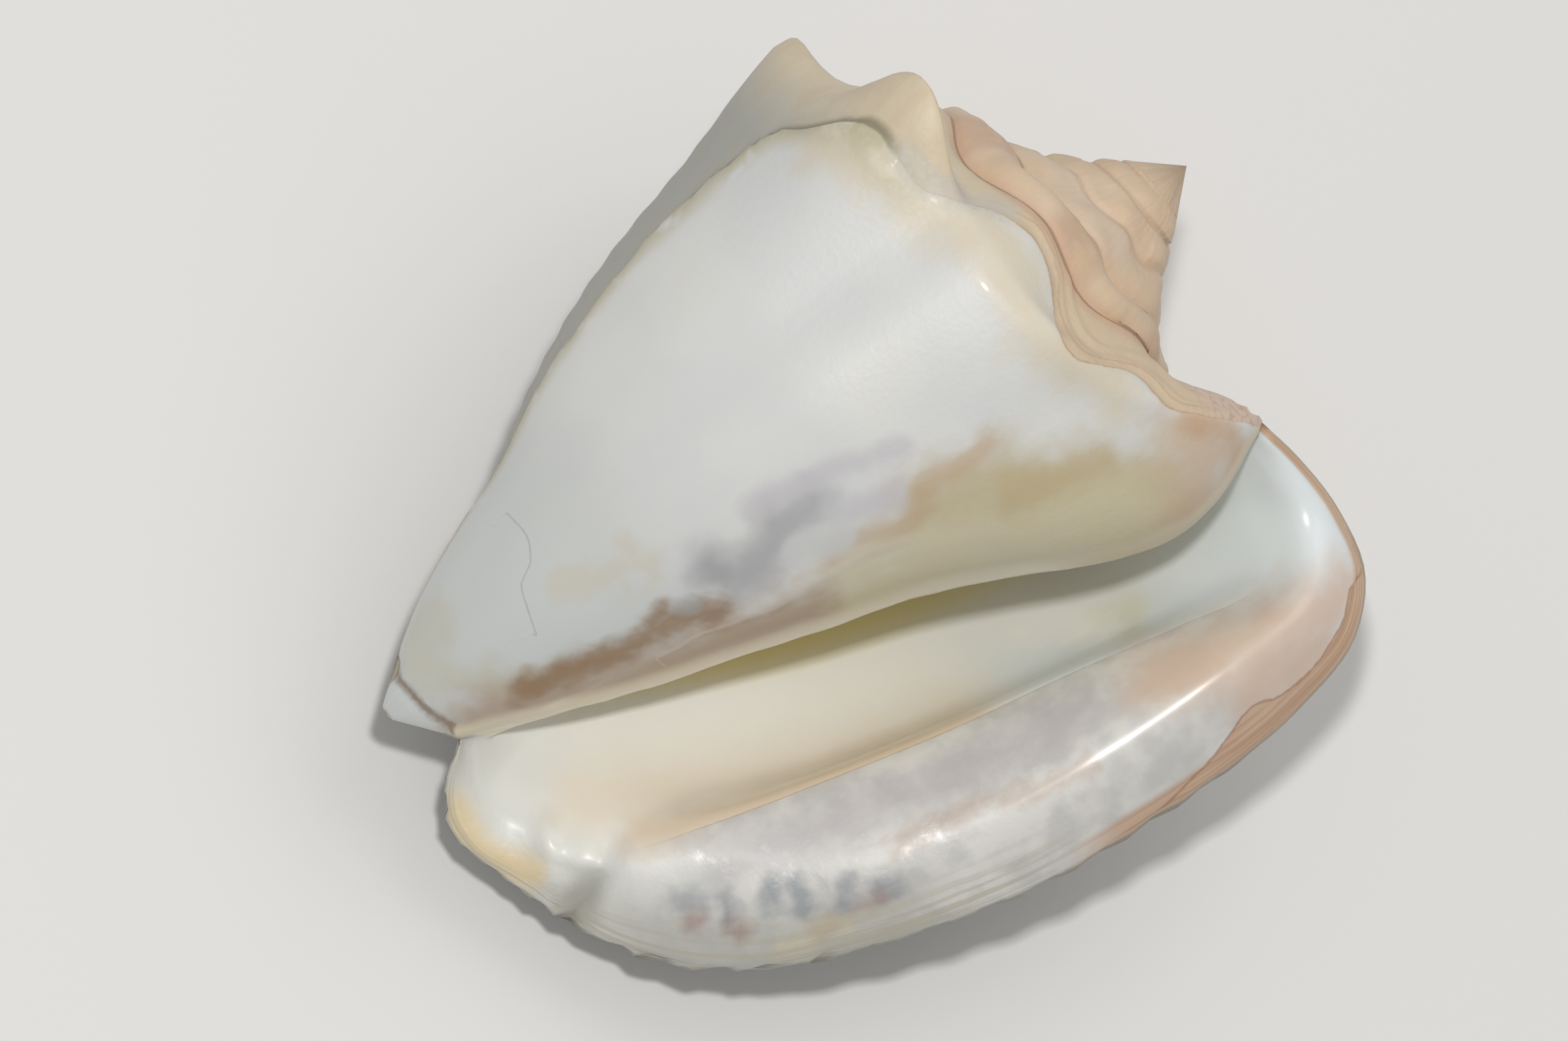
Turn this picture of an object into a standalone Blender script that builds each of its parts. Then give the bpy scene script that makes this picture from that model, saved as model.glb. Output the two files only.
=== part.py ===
"""Milk conch shell: one closed solid, laid at rest on its back with the aperture up.

The shell is worked out upright in its own frame, in millimetres: the coiling axis is Z, with the
canal tip at the bottom and the apex at the top, the flared lip is on +X and the aperture faces -Y.
A place on the outside is given by two numbers. "turn" is the growth angle in degrees, counted back
from the lip edge, so that the polar angle about the axis is the same number. "across" runs over the
whorl's profile, from its suture at 0 to the canal tip at 1.
"""

import bpy
import numpy as np
from mathutils import Matrix

NODE_NAME = "milk_conch_shell"
MILLIMETRE = 0.001

# Mesh resolution.
STEPS_PER_TURN = 60
BAND_STEPS = 6
BODY_STEPS = 18
TIP_STEPS = 2
LUMEN_STEPS = 25
TURNS = 6

# Steps along the profile from the suture down to the notch beside the tip.
MOUTH_STEPS = BAND_STEPS + BODY_STEPS

# The coil. Radii shrink by WHORL_RATIO in each turn back towards the apex, and by less down on the
# canal. The body whorl's middle leans away from the axis towards the tip, which lies beside it.
APEX_HEIGHT = 150.5
WHORL_RATIO = 1.43
CANAL_RATIO = 1.15
CANAL_HEIGHT = 10.0
CANAL_BLEND = 70.0
SPIRE_RATIO = 1.47
TIP_LEAN = -7.6
LEAN_ENDS = 125.0
TIP = (TIP_LEAN, 0.0, 0.0)

# The suture: growth angle, radius and height. It climbs the lip's posterior wing at the start.
SUTURE = (
    (0, 38.4, 135.0),
    (10, 37.0, 132.8),
    (22, 34.5, 129.2),
    (38, 32.8, 126.0),
    (60, 32.0, 124.0),
    (90, 31.4, 122.8),
    (180, 30.2, 123.0),
    (225, 31.6, 121.6),
    (258, 31.0, 122.0),
    (290, 28.8, 123.0),
    (322, 26.4, 124.1),
    (360, 25.0, 124.4),
    (450, 23.9, 125.8),
    (540, 22.8, 127.0),
    (720, 18.1, 129.5),
    (900, 14.7, 132.8),
    (1080, 11.9, 135.8),
    (1260, 9.8, 138.3),
)

# The suture waves towards the apex between the knobs, by this share of its radius.
SUTURE_WAVE = 0.055
WAVE_CREST = 258.0
WAVE_STARTS = 130.0
WAVE_ENDS = 1150.0
WAVE_FADE = 60.0

# The ramp from the suture to under the shoulder, as fractions of its width and of its drop. It is
# rounder past ROUND_STARTS, above the aperture, and straighter on the early whorls. Next to the lip
# it rises as a ridge to the lip's corner.
RAMP = ((0.0, 0.0), (0.25, 0.08), (0.48, 0.28), (0.71, 0.54), (0.93, 0.72), (1.0, 1.0))
ROUND_RAMP = ((0.0, 0.0), (0.31, 0.22), (0.58, 0.42), (0.8, 0.61), (0.94, 0.79), (1.0, 1.0))
ROUND_STARTS = 225.0
ROUND_FADE = 40.0
STRAIGHT_FROM = 760.0
RIDGE = ((0.0, 0.0), (0.15, 0.3), (0.34, 0.57), (0.56, 0.78), (0.8, 0.92), (1.0, 1.0))

# The body whorl's left side, radius and height, from under the shoulder to beside the notch.
BODY = (
    (47.2, 106.5),
    (46.0, 98.0),
    (44.2, 89.0),
    (41.1, 75.5),
    (36.9, 63.5),
    (29.5, 48.5),
    (21.2, 35.0),
    (17.1, 26.0),
    (11.5, 15.5),
    (6.0, 7.5),
)

# How much fuller the body whorl is behind the lip, by height, over the coil's own growth.
FULLNESS = (
    (0, 0.0),
    (10, 7.0),
    (22, 10.0),
    (38, 11.0),
    (54, 6.0),
    (68, 1.0),
    (84, -1.2),
    (100, -0.5),
    (140, 0.0),
)
FULLNESS_STARTS = 125.0

# The inner lip: radius and height of the edge of the aperture's left side, down to the notch.
INNER_LIP = (
    (38.4, 135.0),
    (40.0, 131.0),
    (41.9, 127.0),
    (43.9, 121.5),
    (44.8, 115.5),
    (43.3, 106.5),
    (40.2, 98.5),
    (36.9, 92.0),
    (31.0, 78.0),
    (26.7, 62.5),
    (22.4, 47.5),
    (18.0, 32.0),
    (12.9, 17.5),
    (10.5, 11.5),
    (9.2, 7.0),
)
INNER_LIP_STARTS = 275.0

# The outer lip's rim, from the suture round to the notch beside the tip.
RIM = (
    (38.4, 0.0, 135.0),
    (46.0, 5.0, 136.8),
    (56.5, 8.5, 137.3),
    (66.5, 9.0, 134.8),
    (73.5, 7.0, 127.5),
    (77.2, 5.0, 113.5),
    (78.0, 4.0, 98.0),
    (77.0, 3.5, 83.0),
    (75.0, 3.0, 67.0),
    (71.0, 2.5, 51.5),
    (65.0, 3.0, 35.0),
    (58.5, 4.5, 21.5),
    (51.0, 6.5, 13.0),
    (42.0, 8.0, 6.8),
    (33.0, 8.5, 3.0),
    (25.0, 8.0, 0.0),
    (17.0, 6.5, -2.5),
    (10.0, 5.0, -1.6),
    (6.0, 3.0, 1.7),
    (2.0, 0.0, 7.0),
)

# Lines inside the lip: the share of the rim passed, then the place. First the rolled glaze.
ROLL = (
    (0.00, 39.3, 2.0, 132.0),
    (0.096, 55.0, 5.0, 131.5),
    (0.145, 61.0, 2.5, 128.5),
    (0.20, 64.5, -2.5, 122.0),
    (0.27, 65.0, -5.7, 109.0),
    (0.35, 64.3, -5.9, 92.0),
    (0.45, 62.0, -4.8, 71.0),
    (0.55, 57.5, -3.4, 51.0),
    (0.65, 51.0, -1.7, 33.5),
    (0.74, 43.0, 0.5, 20.0),
    (0.80, 35.5, 2.3, 12.5),
    (0.86, 26.5, 5.0, 6.5),
    (0.91, 17.5, 5.0, 1.8),
    (0.96, 9.0, 3.5, 3.5),
    (1.00, 3.0, 2.2, 8.0),
)
# The crest where the roll turns down into the channel.
CREST = (
    (0.00, 39.6, 5.0, 129.5),
    (0.05, 44.0, 7.0, 129.0),
    (0.10, 50.0, 9.0, 127.5),
    (0.15, 56.5, 7.5, 124.0),
    (0.20, 58.5, 6.0, 118.5),
    (0.27, 56.0, 5.5, 107.0),
    (0.37, 51.5, 5.0, 88.5),
    (0.47, 47.0, 4.0, 68.0),
    (0.57, 41.5, 2.0, 47.5),
    (0.67, 36.0, 0.5, 29.0),
    (0.76, 31.0, 1.5, 16.0),
    (0.83, 24.5, 4.0, 9.5),
    (0.90, 16.0, 5.5, 6.0),
    (0.95, 9.5, 5.0, 6.0),
    (1.00, 4.0, 4.0, 9.5),
)
# The floor of the channel behind the crest.
FLOOR = (
    (0.00, 38.6, 11.0, 125.0),
    (0.08, 45.0, 14.0, 123.5),
    (0.15, 51.5, 16.0, 117.0),
    (0.25, 52.0, 17.0, 106.0),
    (0.37, 48.5, 17.0, 88.0),
    (0.47, 44.0, 16.0, 69.0),
    (0.57, 38.5, 14.0, 50.0),
    (0.67, 30.5, 12.0, 33.5),
    (0.76, 21.5, 9.0, 22.5),
    (0.85, 15.5, 8.5, 15.0),
    (0.93, 9.5, 7.5, 11.0),
    (1.00, 5.0, 6.0, 11.5),
)

# The lip's back: it stands off the roll, the crest and the floor by these thicknesses, and meets the
# coiled body whorl at FLARE_TURN. The floor's back lies away from the aperture's middle.
FLARE_TURN = 42.0
ROLL_BACKING = (0.0, 9.0, 0.0)
CREST_BACKING = (2.0, 8.5, 0.0)
FLOOR_BACKING = 5.5
APERTURE_MIDDLE = (15.0, -40.0, 70.0)
# Share of the way from the rim to FLARE_TURN at each of those, then at the body whorl, and past it.
BACK_PLACES = (0.0, 0.08, 0.3, 0.52, 0.7, 1.0, 1.25)
JUNCTION_SHARE = 0.1

# Half the thickness of the rim, at even places from the suture round to the notch, and how far
# inward its back and its front begin, as a share of that.
RIM_HALF_THICKNESS = (1.6, 1.8, 2.6, 3.0, 2.8, 2.4, 1.8, 1.2, 0.7)
RIM_BACK_INSET = 0.7
RIM_FRONT_INSET = 0.8

# The hollow behind the channel, radius and height at a quarter turn, on its outer and inner sides.
HOLLOW_OUTER = (
    (34.5, 117.0),
    (43.5, 112.5),
    (46.2, 104.0),
    (45.5, 92.0),
    (41.0, 75.0),
    (33.5, 58.0),
    (25.0, 44.0),
    (17.5, 33.0),
    (11.0, 26.0),
)
HOLLOW_INNER = (
    (34.5, 117.0),
    (37.0, 109.0),
    (36.0, 100.0),
    (33.5, 88.0),
    (29.0, 74.0),
    (24.0, 60.0),
    (19.0, 47.0),
    (14.5, 36.0),
    (11.0, 26.0),
)
# The hollow's sections lie this far apart, up to its blind end, and its lower end climbs the pillar.
SECTION_STEP = 45.0
SECTIONS = 10
LOWER_END = 18.0
HOLLOW_END = (465.0, 21.0, 98.0)
# Share of the way in at the rim, its inner round, the roll, the crest, the floor and the last section.
DEPTHS = (0.0, 0.03, 0.09, 0.15, 0.21, 1.0)
# Polar angle of the inner lip's wall, and its radius as a share, at the first five of those depths.
WALL_START = ((0.0, 1.0), (2.0, 1.0), (6.0, 0.99), (11.0, 0.975), (19.0, 0.95))

# Knobs on the shoulder of the body whorl: growth angle, and how far each stands out and up from a
# place on the shoulder. It fades over a longer way down than up.
KNOBS = (
    (56.0, 13.0, 7.5),
    (116.0, 14.5, 8.5),
    (179.0, 5.2, 3.4),
    (229.0, 8.2, 7.4),
    (285.0, 2.5, 1.5),
)
KNOB_PITCH = 53.0
KNOB_HALF_WIDTH = 12.5
KNOB_PLACE = 0.87 * BAND_STEPS
KNOB_FADE_UP = 1.0
KNOB_FADE_DOWN = 3.2
# The spire's whorls start here and swell over the first SPIRE_FADE degrees. They are round, with
# knobs on them, and both stand out by a share of the whorl's width.
SPIRE_STARTS = 360.0
SPIRE_FADE = 70.0
SPIRE_ROUND = 0.13
SPIRE_KNOB = 0.17
SPIRE_SWELL_SKEW = 1.3
# Nearer the apex the spire is calmer: it loses SPIRE_CALM of both.
SPIRE_CALM = 0.7
CALM_STARTS = 620.0
CALM_FADE = 300.0
# The shoulder against growth angle: its height, and how far it lies in from the coil's own growth.
# The height drops as the whorl grows. The second grows from nothing over SLIMMING above SLIM_FROM.
SHOULDER = (
    (0, 105.0, 0.0),
    (48, 105.5, 0.0),
    (126, 106.0, 0.0),
    (180, 107.0, 0.0),
    (206, 108.0, 0.0),
    (232, 112.5, 0.8),
    (246, 111.0, 3.2),
    (262, 110.0, 1.5),
    (285, 109.5, 3.0),
    (320, 111.0, 2.2),
    (360, 114.0, 0.0),
)
SLIM_FROM = 30.0
SLIMMING = 75.0

# How it lies: turned about its long axis, then about the crosswise one, from aperture straight up.
ROLL_AT_REST = 2.28
PITCH_AT_REST = 17.33

SHELL_COLOUR = (0.70, 0.62, 0.52, 1.0)
SHELL_ROUGHNESS = 0.3
SHARP_ANGLE = 50.0


def smooth(knots, values, where):
    """Values at `where` on a smooth line that passes through `values` at `knots`."""
    knots = np.asarray(knots, float)
    values = np.asarray(values, float)
    where = np.asarray(where, float)
    steps = np.diff(knots).reshape((-1,) + (1,) * (values.ndim - 1))
    slopes = np.diff(values, axis=0) / steps
    inner = (steps[1:] * slopes[:-1] + steps[:-1] * slopes[1:]) / (steps[1:] + steps[:-1])
    tangents = np.concatenate([slopes[:1], inner, slopes[-1:]])
    place = np.clip(np.searchsorted(knots, where, side="right") - 1, 0, len(knots) - 2)
    extra = (1,) * (values.ndim - 1)
    step = np.diff(knots)[place].reshape(where.shape + extra)
    s = (where - knots[place]).reshape(where.shape + extra) / step
    rise = s * s * (3 - 2 * s)
    start = values[place] * (1 - rise) + tangents[place] * step * s * (1 - s) ** 2
    return start + values[place + 1] * rise - tangents[place + 1] * step * s * s * (1 - s)


def along(points, where):
    """Points at fractions `where` of the way along a smooth line through `points`."""
    points = np.asarray(points, float)
    lengths = np.linalg.norm(np.diff(points, axis=0), axis=1)
    return smooth(np.concatenate([[0], np.cumsum(lengths)]) / lengths.sum(), points, where)


def ease(value):
    """0 below 0, 1 above 1, and a smooth rise between."""
    value = np.clip(value, 0, 1)
    return value * value * (3 - 2 * value)


def lean(height):
    """How far the whorl's middle lies from the axis, along X."""
    return TIP_LEAN * np.clip(1 - np.asarray(height, float) / LEAN_ENDS, 0, 1)


def upright(turn, radius, height):
    """Cylindrical places as X, Y and Z."""
    angle = np.radians(turn)
    return np.stack([radius * np.cos(angle) + lean(height), radius * np.sin(angle), height], axis=-1)


def suture(turn):
    """Radius and height of the suture. In the last turn it closes on the turn before it."""
    table = np.array(SUTURE)
    last_turn, last_radius, last_height = table[-1]
    found = smooth(table[:, 0], table[:, 1:], turn)
    if turn > last_turn:
        shrink = SPIRE_RATIO ** ((last_turn - turn) / 360)
        found = np.array([last_radius * shrink, APEX_HEIGHT - (APEX_HEIGHT - last_height) * shrink])
    strength = ease((turn - WAVE_STARTS) / WAVE_FADE) * ease((WAVE_ENDS - turn) / WAVE_FADE)
    wave = np.cos(2 * np.pi * (turn - WAVE_CREST) / KNOB_PITCH)
    found[1] += SUTURE_WAVE * found[0] * strength * wave
    closing = ease(turn / 360 - TURNS + 1)
    if closing > 0:
        found = (1 - closing) * found + closing * suture(turn - 360)
    return found


def knob_size(turn):
    """How far the body whorl's knobs stand out and up at a growth angle."""
    knobs = np.array(KNOBS)
    shares = np.exp(-(((turn - knobs[:, 0]) / KNOB_HALF_WIDTH) ** 2))
    return shares @ knobs[:, 1:]


def ramp(turn, lower, shape=RAMP):
    """Radius and height from the suture down to `lower`, just under the shoulder."""
    upper = suture(turn)
    even = np.linspace(0, 1, BAND_STEPS + 1)
    if shape is RAMP:
        round_share = ease((turn - ROUND_STARTS) / ROUND_FADE)
        curved = (1 - round_share) * along(RAMP, even) + round_share * along(ROUND_RAMP, even)
    else:
        curved = along(shape, even)
    straight = ease((turn - 360) / (STRAIGHT_FROM - 360))
    fractions = (1 - straight) * curved + straight * even[:, None]
    return upper + fractions * (np.asarray(lower) - upper)


def spire_band(turn):
    """Radius and height over a spire whorl, from its suture to the suture below it."""
    band = ramp(turn, suture(turn - 360))
    width, drop = suture(turn - 360) - suture(turn)
    nearest = (turn - KNOBS[-1][0] + KNOB_PITCH / 2) % KNOB_PITCH - KNOB_PITCH / 2
    knob = SPIRE_KNOB * np.exp(-((nearest / KNOB_HALF_WIDTH) ** 2))
    even = np.linspace(0, 1, BAND_STEPS + 1)[:, None]
    swell = knob * np.sin(np.pi * even**SPIRE_SWELL_SKEW) ** 2 + SPIRE_ROUND * np.sin(np.pi * even)
    calm = SPIRE_CALM * ease((turn - CALM_STARTS) / CALM_FADE)
    strength = ease((turn - SPIRE_STARTS) / SPIRE_FADE) * (1 - calm)
    return band + strength * swell * np.array([-drop, width])


def coiled_profile(turn):
    """Radius and height over the body whorl as it coils, before the lips change it."""
    body = along(BODY, np.linspace(0, 1, BODY_STEPS + 1))
    growth = CANAL_RATIO + (WHORL_RATIO - CANAL_RATIO) * ease((body[:, 1] - CANAL_HEIGHT) / CANAL_BLEND)
    body[:, 0] *= growth ** ((180 - turn) / 360)
    fullness = np.array(FULLNESS)
    share = ease((FULLNESS_STARTS - turn) / (FULLNESS_STARTS - FLARE_TURN))
    body[:, 0] += share * smooth(fullness[:, 0], fullness[:, 1], body[:, 1])
    shoulder = np.array(SHOULDER)
    height, slimmer = smooth(shoulder[:, 0], shoulder[:, 1:], turn)
    body[:, 0] -= slimmer * ease((body[:, 1] - SLIM_FROM) / SLIMMING)
    body[:, 1] *= height / BODY[0][1]
    tip = np.linspace(body[-1], (0, TIP[2]), TIP_STEPS + 1)
    profile = np.concatenate([ramp(turn, body[0])[:-1], body, tip[1:]])
    steps_below = np.arange(len(profile)) - KNOB_PLACE
    fade = np.where(steps_below < 0, KNOB_FADE_UP, KNOB_FADE_DOWN)
    knob = np.exp(-((steps_below / fade) ** 2))[:, None] * knob_size(turn)
    knob[0] = 0
    return profile + knob


def inner_lip_profile():
    """Radius and height along the aperture's left edge, with the ridge above it and the tip."""
    ridge = ramp(360, suture(0), RIDGE)
    edge = along(INNER_LIP, np.linspace(0, 1, BODY_STEPS + 1))
    tip = np.linspace(edge[-1], (0, TIP[2]), TIP_STEPS + 1)
    return np.concatenate([ridge[:-1], edge, tip[1:]])


def body_profile(turn):
    """X, Y and Z over the body whorl at a growth angle from the flare back to the inner lip."""
    blend = ease((turn - INNER_LIP_STARTS) / (360 - INNER_LIP_STARTS))
    profile = (1 - blend) * coiled_profile(turn) + blend * inner_lip_profile()
    return upright(turn, profile[:, 0], profile[:, 1])


def lip_lines():
    """The outer lip's rim, roll, crest and floor, with one point for each mouth column."""
    places = np.linspace(0, 1, MOUTH_STEPS + 1)
    inner = [np.array(line) for line in (ROLL, CREST, FLOOR)]
    return [along(RIM, places)] + [smooth(line[:, 0], line[:, 1:], places) for line in inner]


def rim_sides(rim):
    """The back and the front of the rounded rim."""
    travel = np.gradient(rim, axis=0)
    outward = np.stack([-travel[:, 2], np.zeros(len(rim)), travel[:, 0]], axis=-1)
    outward /= np.linalg.norm(outward, axis=1, keepdims=True)
    places = np.linspace(0, 1, len(rim))
    half = smooth(np.linspace(0, 1, len(RIM_HALF_THICKNESS)), RIM_HALF_THICKNESS, places)[:, None]
    backward = np.array([0.0, 1.0, 0.0])
    back = rim - outward * half * RIM_BACK_INSET + backward * half
    front = rim - outward * half * RIM_FRONT_INSET - backward * half
    return back, front


def lip_back_rows():
    """Rows of the outer lip's back, from the rim to the body whorl at FLARE_TURN."""
    rim, roll, crest, floor = lip_lines()
    back, _ = rim_sides(rim)
    away = floor - APERTURE_MIDDLE
    away /= np.linalg.norm(away, axis=1, keepdims=True)
    lines = [rim, back, roll + ROLL_BACKING, crest + CREST_BACKING, floor + away * FLOOR_BACKING]
    for place in BACK_PLACES[-2:]:
        lines.append(body_profile(place * FLARE_TURN)[: MOUTH_STEPS + 1])
    count = round(FLARE_TURN / 360 * STEPS_PER_TURN)
    rows = smooth(BACK_PLACES, np.array(lines), np.arange(count) / count)
    shares = np.linspace(0, 1, MOUTH_STEPS + 1)[:, None]
    ends = [profile[MOUTH_STEPS:] for profile in (inner_lip_profile(), coiled_profile(FLARE_TURN))]
    finished = []
    for index, row in enumerate(rows):
        turn = index / count * FLARE_TURN
        end = ends[0] + (ends[1] - ends[0]) * index / count
        tail = upright(turn, end[:, 0], end[:, 1])
        top_gap = upright(turn, *suture(turn)) - row[0]
        low_gap = tail[0] - row[-1]
        row = row + top_gap * (1 - ease(shares / JUNCTION_SHARE))
        row = row + low_gap * (1 - ease((1 - shares) / JUNCTION_SHARE))
        finished.append(np.concatenate([row, tail[1:]]))
    return finished


def outside_rows():
    """Every row of the outside, from the rim back to the top of the spire."""
    rows = lip_back_rows()
    step = 360 / STEPS_PER_TURN
    for index in range(len(rows), STEPS_PER_TURN + 1):
        rows.append(body_profile(index * step))
    for index in range(STEPS_PER_TURN + 1, TURNS * STEPS_PER_TURN + 1):
        band = spire_band(index * step)
        rows.append(upright(index * step, band[:, 0], band[:, 1]))
    return rows


def hollow_section(profile, turn, count):
    """One side of a deep section of the hollow, with `count` points from top to bottom."""
    section = along(profile, np.linspace(0, 1, count))
    top, bottom = profile[0][1], profile[-1][1]
    lower_end = APEX_HEIGHT - (APEX_HEIGHT - LOWER_END) * WHORL_RATIO ** ((SECTION_STEP - turn) / 360)
    section[:, 0] *= WHORL_RATIO ** ((90 - turn) / 360)
    section[:, 1] = top - (top - section[:, 1]) * (top - lower_end) / (top - bottom)
    return upright(turn, section[:, 0], section[:, 1])


def aperture_rows():
    """Rows of the outer lip's inside and of the wall opposite, from the rim to the hollow's end."""
    rim, roll, crest, floor = lip_lines()
    _, front = rim_sides(rim)
    front[0], front[-1] = (rim[0] * 2 + roll[0]) / 3, (rim[-1] * 2 + roll[-1]) / 3
    outer = [rim, front, roll, crest, floor]
    edge = inner_lip_profile()[BAND_STEPS : MOUTH_STEPS + 1]
    wall = [upright(angle, edge[:, 0] * share, edge[:, 1]) for angle, share in WALL_START]
    for section in range(1, SECTIONS + 1):
        outer.append(hollow_section(HOLLOW_OUTER, section * SECTION_STEP, MOUTH_STEPS + 1))
        wall.append(hollow_section(HOLLOW_INNER, section * SECTION_STEP, BODY_STEPS + 1))
    knots = np.append(DEPTHS[:4], np.linspace(DEPTHS[4], DEPTHS[5], SECTIONS + 1))
    depths = np.linspace(0, 1, LUMEN_STEPS + 1)
    outer = smooth(knots, np.array(outer), depths)
    wall = smooth(knots, np.array(wall), depths)
    settle = np.linspace(0, 1, BODY_STEPS + 1)[None, :, None]
    top_gap = (outer[:, 0] - wall[:, 0])[:, None, :]
    low_gap = (outer[:, -1] - wall[:, -1])[:, None, :]
    wall = wall + top_gap * (1 - settle) ** 4 + low_gap * settle**4
    return outer, wall


class Skin:
    """Gathers shared corners and the faces between them."""

    def __init__(self):
        self.corners = []
        self.faces = []

    def add(self, points):
        first = len(self.corners)
        self.corners.extend(tuple(point) for point in points)
        return list(range(first, len(self.corners)))

    def join(self, row, next_row):
        """Quads between two rows of corners of equal length; a repeated corner gives a triangle."""
        for a, b, c, d in zip(row, row[1:], next_row[1:], next_row):
            face = [a, b, c, d]
            kept = [corner for place, corner in enumerate(face) if corner not in face[:place]]
            if len(kept) > 2:
                self.faces.append(kept)

    def fan(self, centre, ring):
        for a, b in zip(ring, ring[1:]):
            self.faces.append([centre, a, b])


def build_skin():
    """The whole closed surface of the shell."""
    skin = Skin()
    rows = outside_rows()
    tip = skin.add([TIP])[0]
    named = []
    for index, points in enumerate(rows):
        if index < STEPS_PER_TURN:
            named.append(skin.add(points[:-1]) + [tip])
        elif index == STEPS_PER_TURN:
            mouth_edge = skin.add(points[BAND_STEPS + 1 : MOUTH_STEPS])
            upper = skin.add(points[:BAND_STEPS])
            tail = named[0][MOUTH_STEPS:]
            named.append(upper + [named[0][0]] + mouth_edge + tail)
        elif index < TURNS * STEPS_PER_TURN:
            named.append(skin.add(points[:-1]) + [named[index - STEPS_PER_TURN][0]])
        else:
            named.append([named[index - STEPS_PER_TURN][0]] * (BAND_STEPS + 1))
    for index in range(STEPS_PER_TURN):
        skin.join(named[index], named[index + 1])
    for index in range(STEPS_PER_TURN, len(named) - 1):
        skin.join(named[index][: BAND_STEPS + 1], named[index + 1][: BAND_STEPS + 1])
    apex = skin.add([(0.0, 0.0, APEX_HEIGHT)])[0]
    skin.fan(apex, [row[0] for row in named[-STEPS_PER_TURN - 1 :]])
    inner_edge = named[STEPS_PER_TURN][BAND_STEPS : MOUTH_STEPS + 1]
    line_hollow(skin, named[0][: MOUTH_STEPS + 1], inner_edge)
    return skin


def line_hollow(skin, rim, inner_edge):
    """Lines the aperture and the hollow behind it, from the rim and the inner lip inwards."""
    outer, wall = aperture_rows()
    outer_row, wall_row = rim, inner_edge
    for depth in range(1, LUMEN_STEPS + 1):
        next_outer = skin.add(outer[depth])
        next_wall = [next_outer[0]] + skin.add(wall[depth][1:-1]) + [next_outer[-1]]
        skin.join(next_outer, outer_row)
        skin.join(wall_row, next_wall)
        outer_row, wall_row = next_outer, next_wall
    turn, radius, height = HOLLOW_END
    end = skin.add([upright(turn, radius, height)])[0]
    skin.fan(end, outer_row[::-1])
    skin.fan(end, wall_row)


def lay_down(corners):
    """Turns upright corners to how the shell lies, with its middle over the origin, in metres."""
    face_up = Matrix.Rotation(np.radians(-90), 3, "X")
    roll = Matrix.Rotation(np.radians(ROLL_AT_REST), 3, "Y")
    pitch = Matrix.Rotation(np.radians(PITCH_AT_REST), 3, "X")
    turned = np.array(corners) @ np.array(pitch @ roll @ face_up).T
    low, high = turned.min(axis=0), turned.max(axis=0)
    return (turned - [(low[0] + high[0]) / 2, (low[1] + high[1]) / 2, low[2]]) * MILLIMETRE


def shell_material():
    material = bpy.data.materials.new("shell")
    material.use_nodes = True
    shader = material.node_tree.nodes["Principled BSDF"]
    shader.inputs["Base Color"].default_value = SHELL_COLOUR
    shader.inputs["Roughness"].default_value = SHELL_ROUGHNESS
    shader.inputs["Metallic"].default_value = 0.0
    return material


def main():
    for item in list(bpy.data.objects):
        bpy.data.objects.remove(item, do_unlink=True)
    skin = build_skin()
    mesh = bpy.data.meshes.new(NODE_NAME)
    mesh.from_pydata(lay_down(skin.corners).tolist(), [], skin.faces)
    mesh.materials.append(shell_material())
    mesh.shade_smooth()
    mesh.set_sharp_from_angle(angle=np.radians(SHARP_ANGLE))
    bpy.context.collection.objects.link(bpy.data.objects.new(NODE_NAME, mesh))


main()
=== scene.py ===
"""Milk conch shell with its glaze, markings and fine relief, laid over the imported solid.

The shell is worked out upright in its own frame, in millimetres: the coiling axis is Z, with the
canal tip at the bottom and the apex at the top, the flared lip is on +X and the aperture faces -Y.
A place on the outside is given by two numbers. "turn" is the growth angle in degrees, counted back
from the lip edge, so that the polar angle about the axis is the same number. "across" runs over the
whorl's profile, from its suture at 0 to the canal tip at 1. The fine skin follows the same lines as
the solid, with more steps, and relief is added along its normals.
"""

import bpy
import numpy as np
from mathutils import Matrix, Vector, noise


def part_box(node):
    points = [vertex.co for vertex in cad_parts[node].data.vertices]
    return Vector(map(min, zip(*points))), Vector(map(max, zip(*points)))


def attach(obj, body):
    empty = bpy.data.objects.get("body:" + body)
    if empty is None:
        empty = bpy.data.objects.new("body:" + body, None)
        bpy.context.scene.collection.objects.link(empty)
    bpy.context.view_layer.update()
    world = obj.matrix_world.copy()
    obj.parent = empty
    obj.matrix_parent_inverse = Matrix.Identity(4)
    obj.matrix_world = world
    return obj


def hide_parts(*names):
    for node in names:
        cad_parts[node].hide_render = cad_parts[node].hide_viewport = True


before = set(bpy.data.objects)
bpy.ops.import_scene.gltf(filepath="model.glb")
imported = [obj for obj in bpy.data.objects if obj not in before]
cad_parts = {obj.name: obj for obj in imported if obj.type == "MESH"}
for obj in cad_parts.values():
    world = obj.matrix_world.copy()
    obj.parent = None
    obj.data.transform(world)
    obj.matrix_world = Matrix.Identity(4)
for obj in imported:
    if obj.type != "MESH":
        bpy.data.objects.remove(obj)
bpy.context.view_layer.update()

NODE_NAME = "milk_conch_shell"
MILLIMETRE = 0.001

# Mesh resolution: DETAIL steps for each step of the solid.
DETAIL = 4
STEPS_PER_TURN = 60 * DETAIL
BAND_STEPS = 6 * DETAIL
BODY_STEPS = 18 * DETAIL
TIP_STEPS = 2 * DETAIL
LUMEN_STEPS = 25 * DETAIL
TURNS = 6

# Steps along the profile from the suture down to the notch beside the tip.
MOUTH_STEPS = BAND_STEPS + BODY_STEPS

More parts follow.
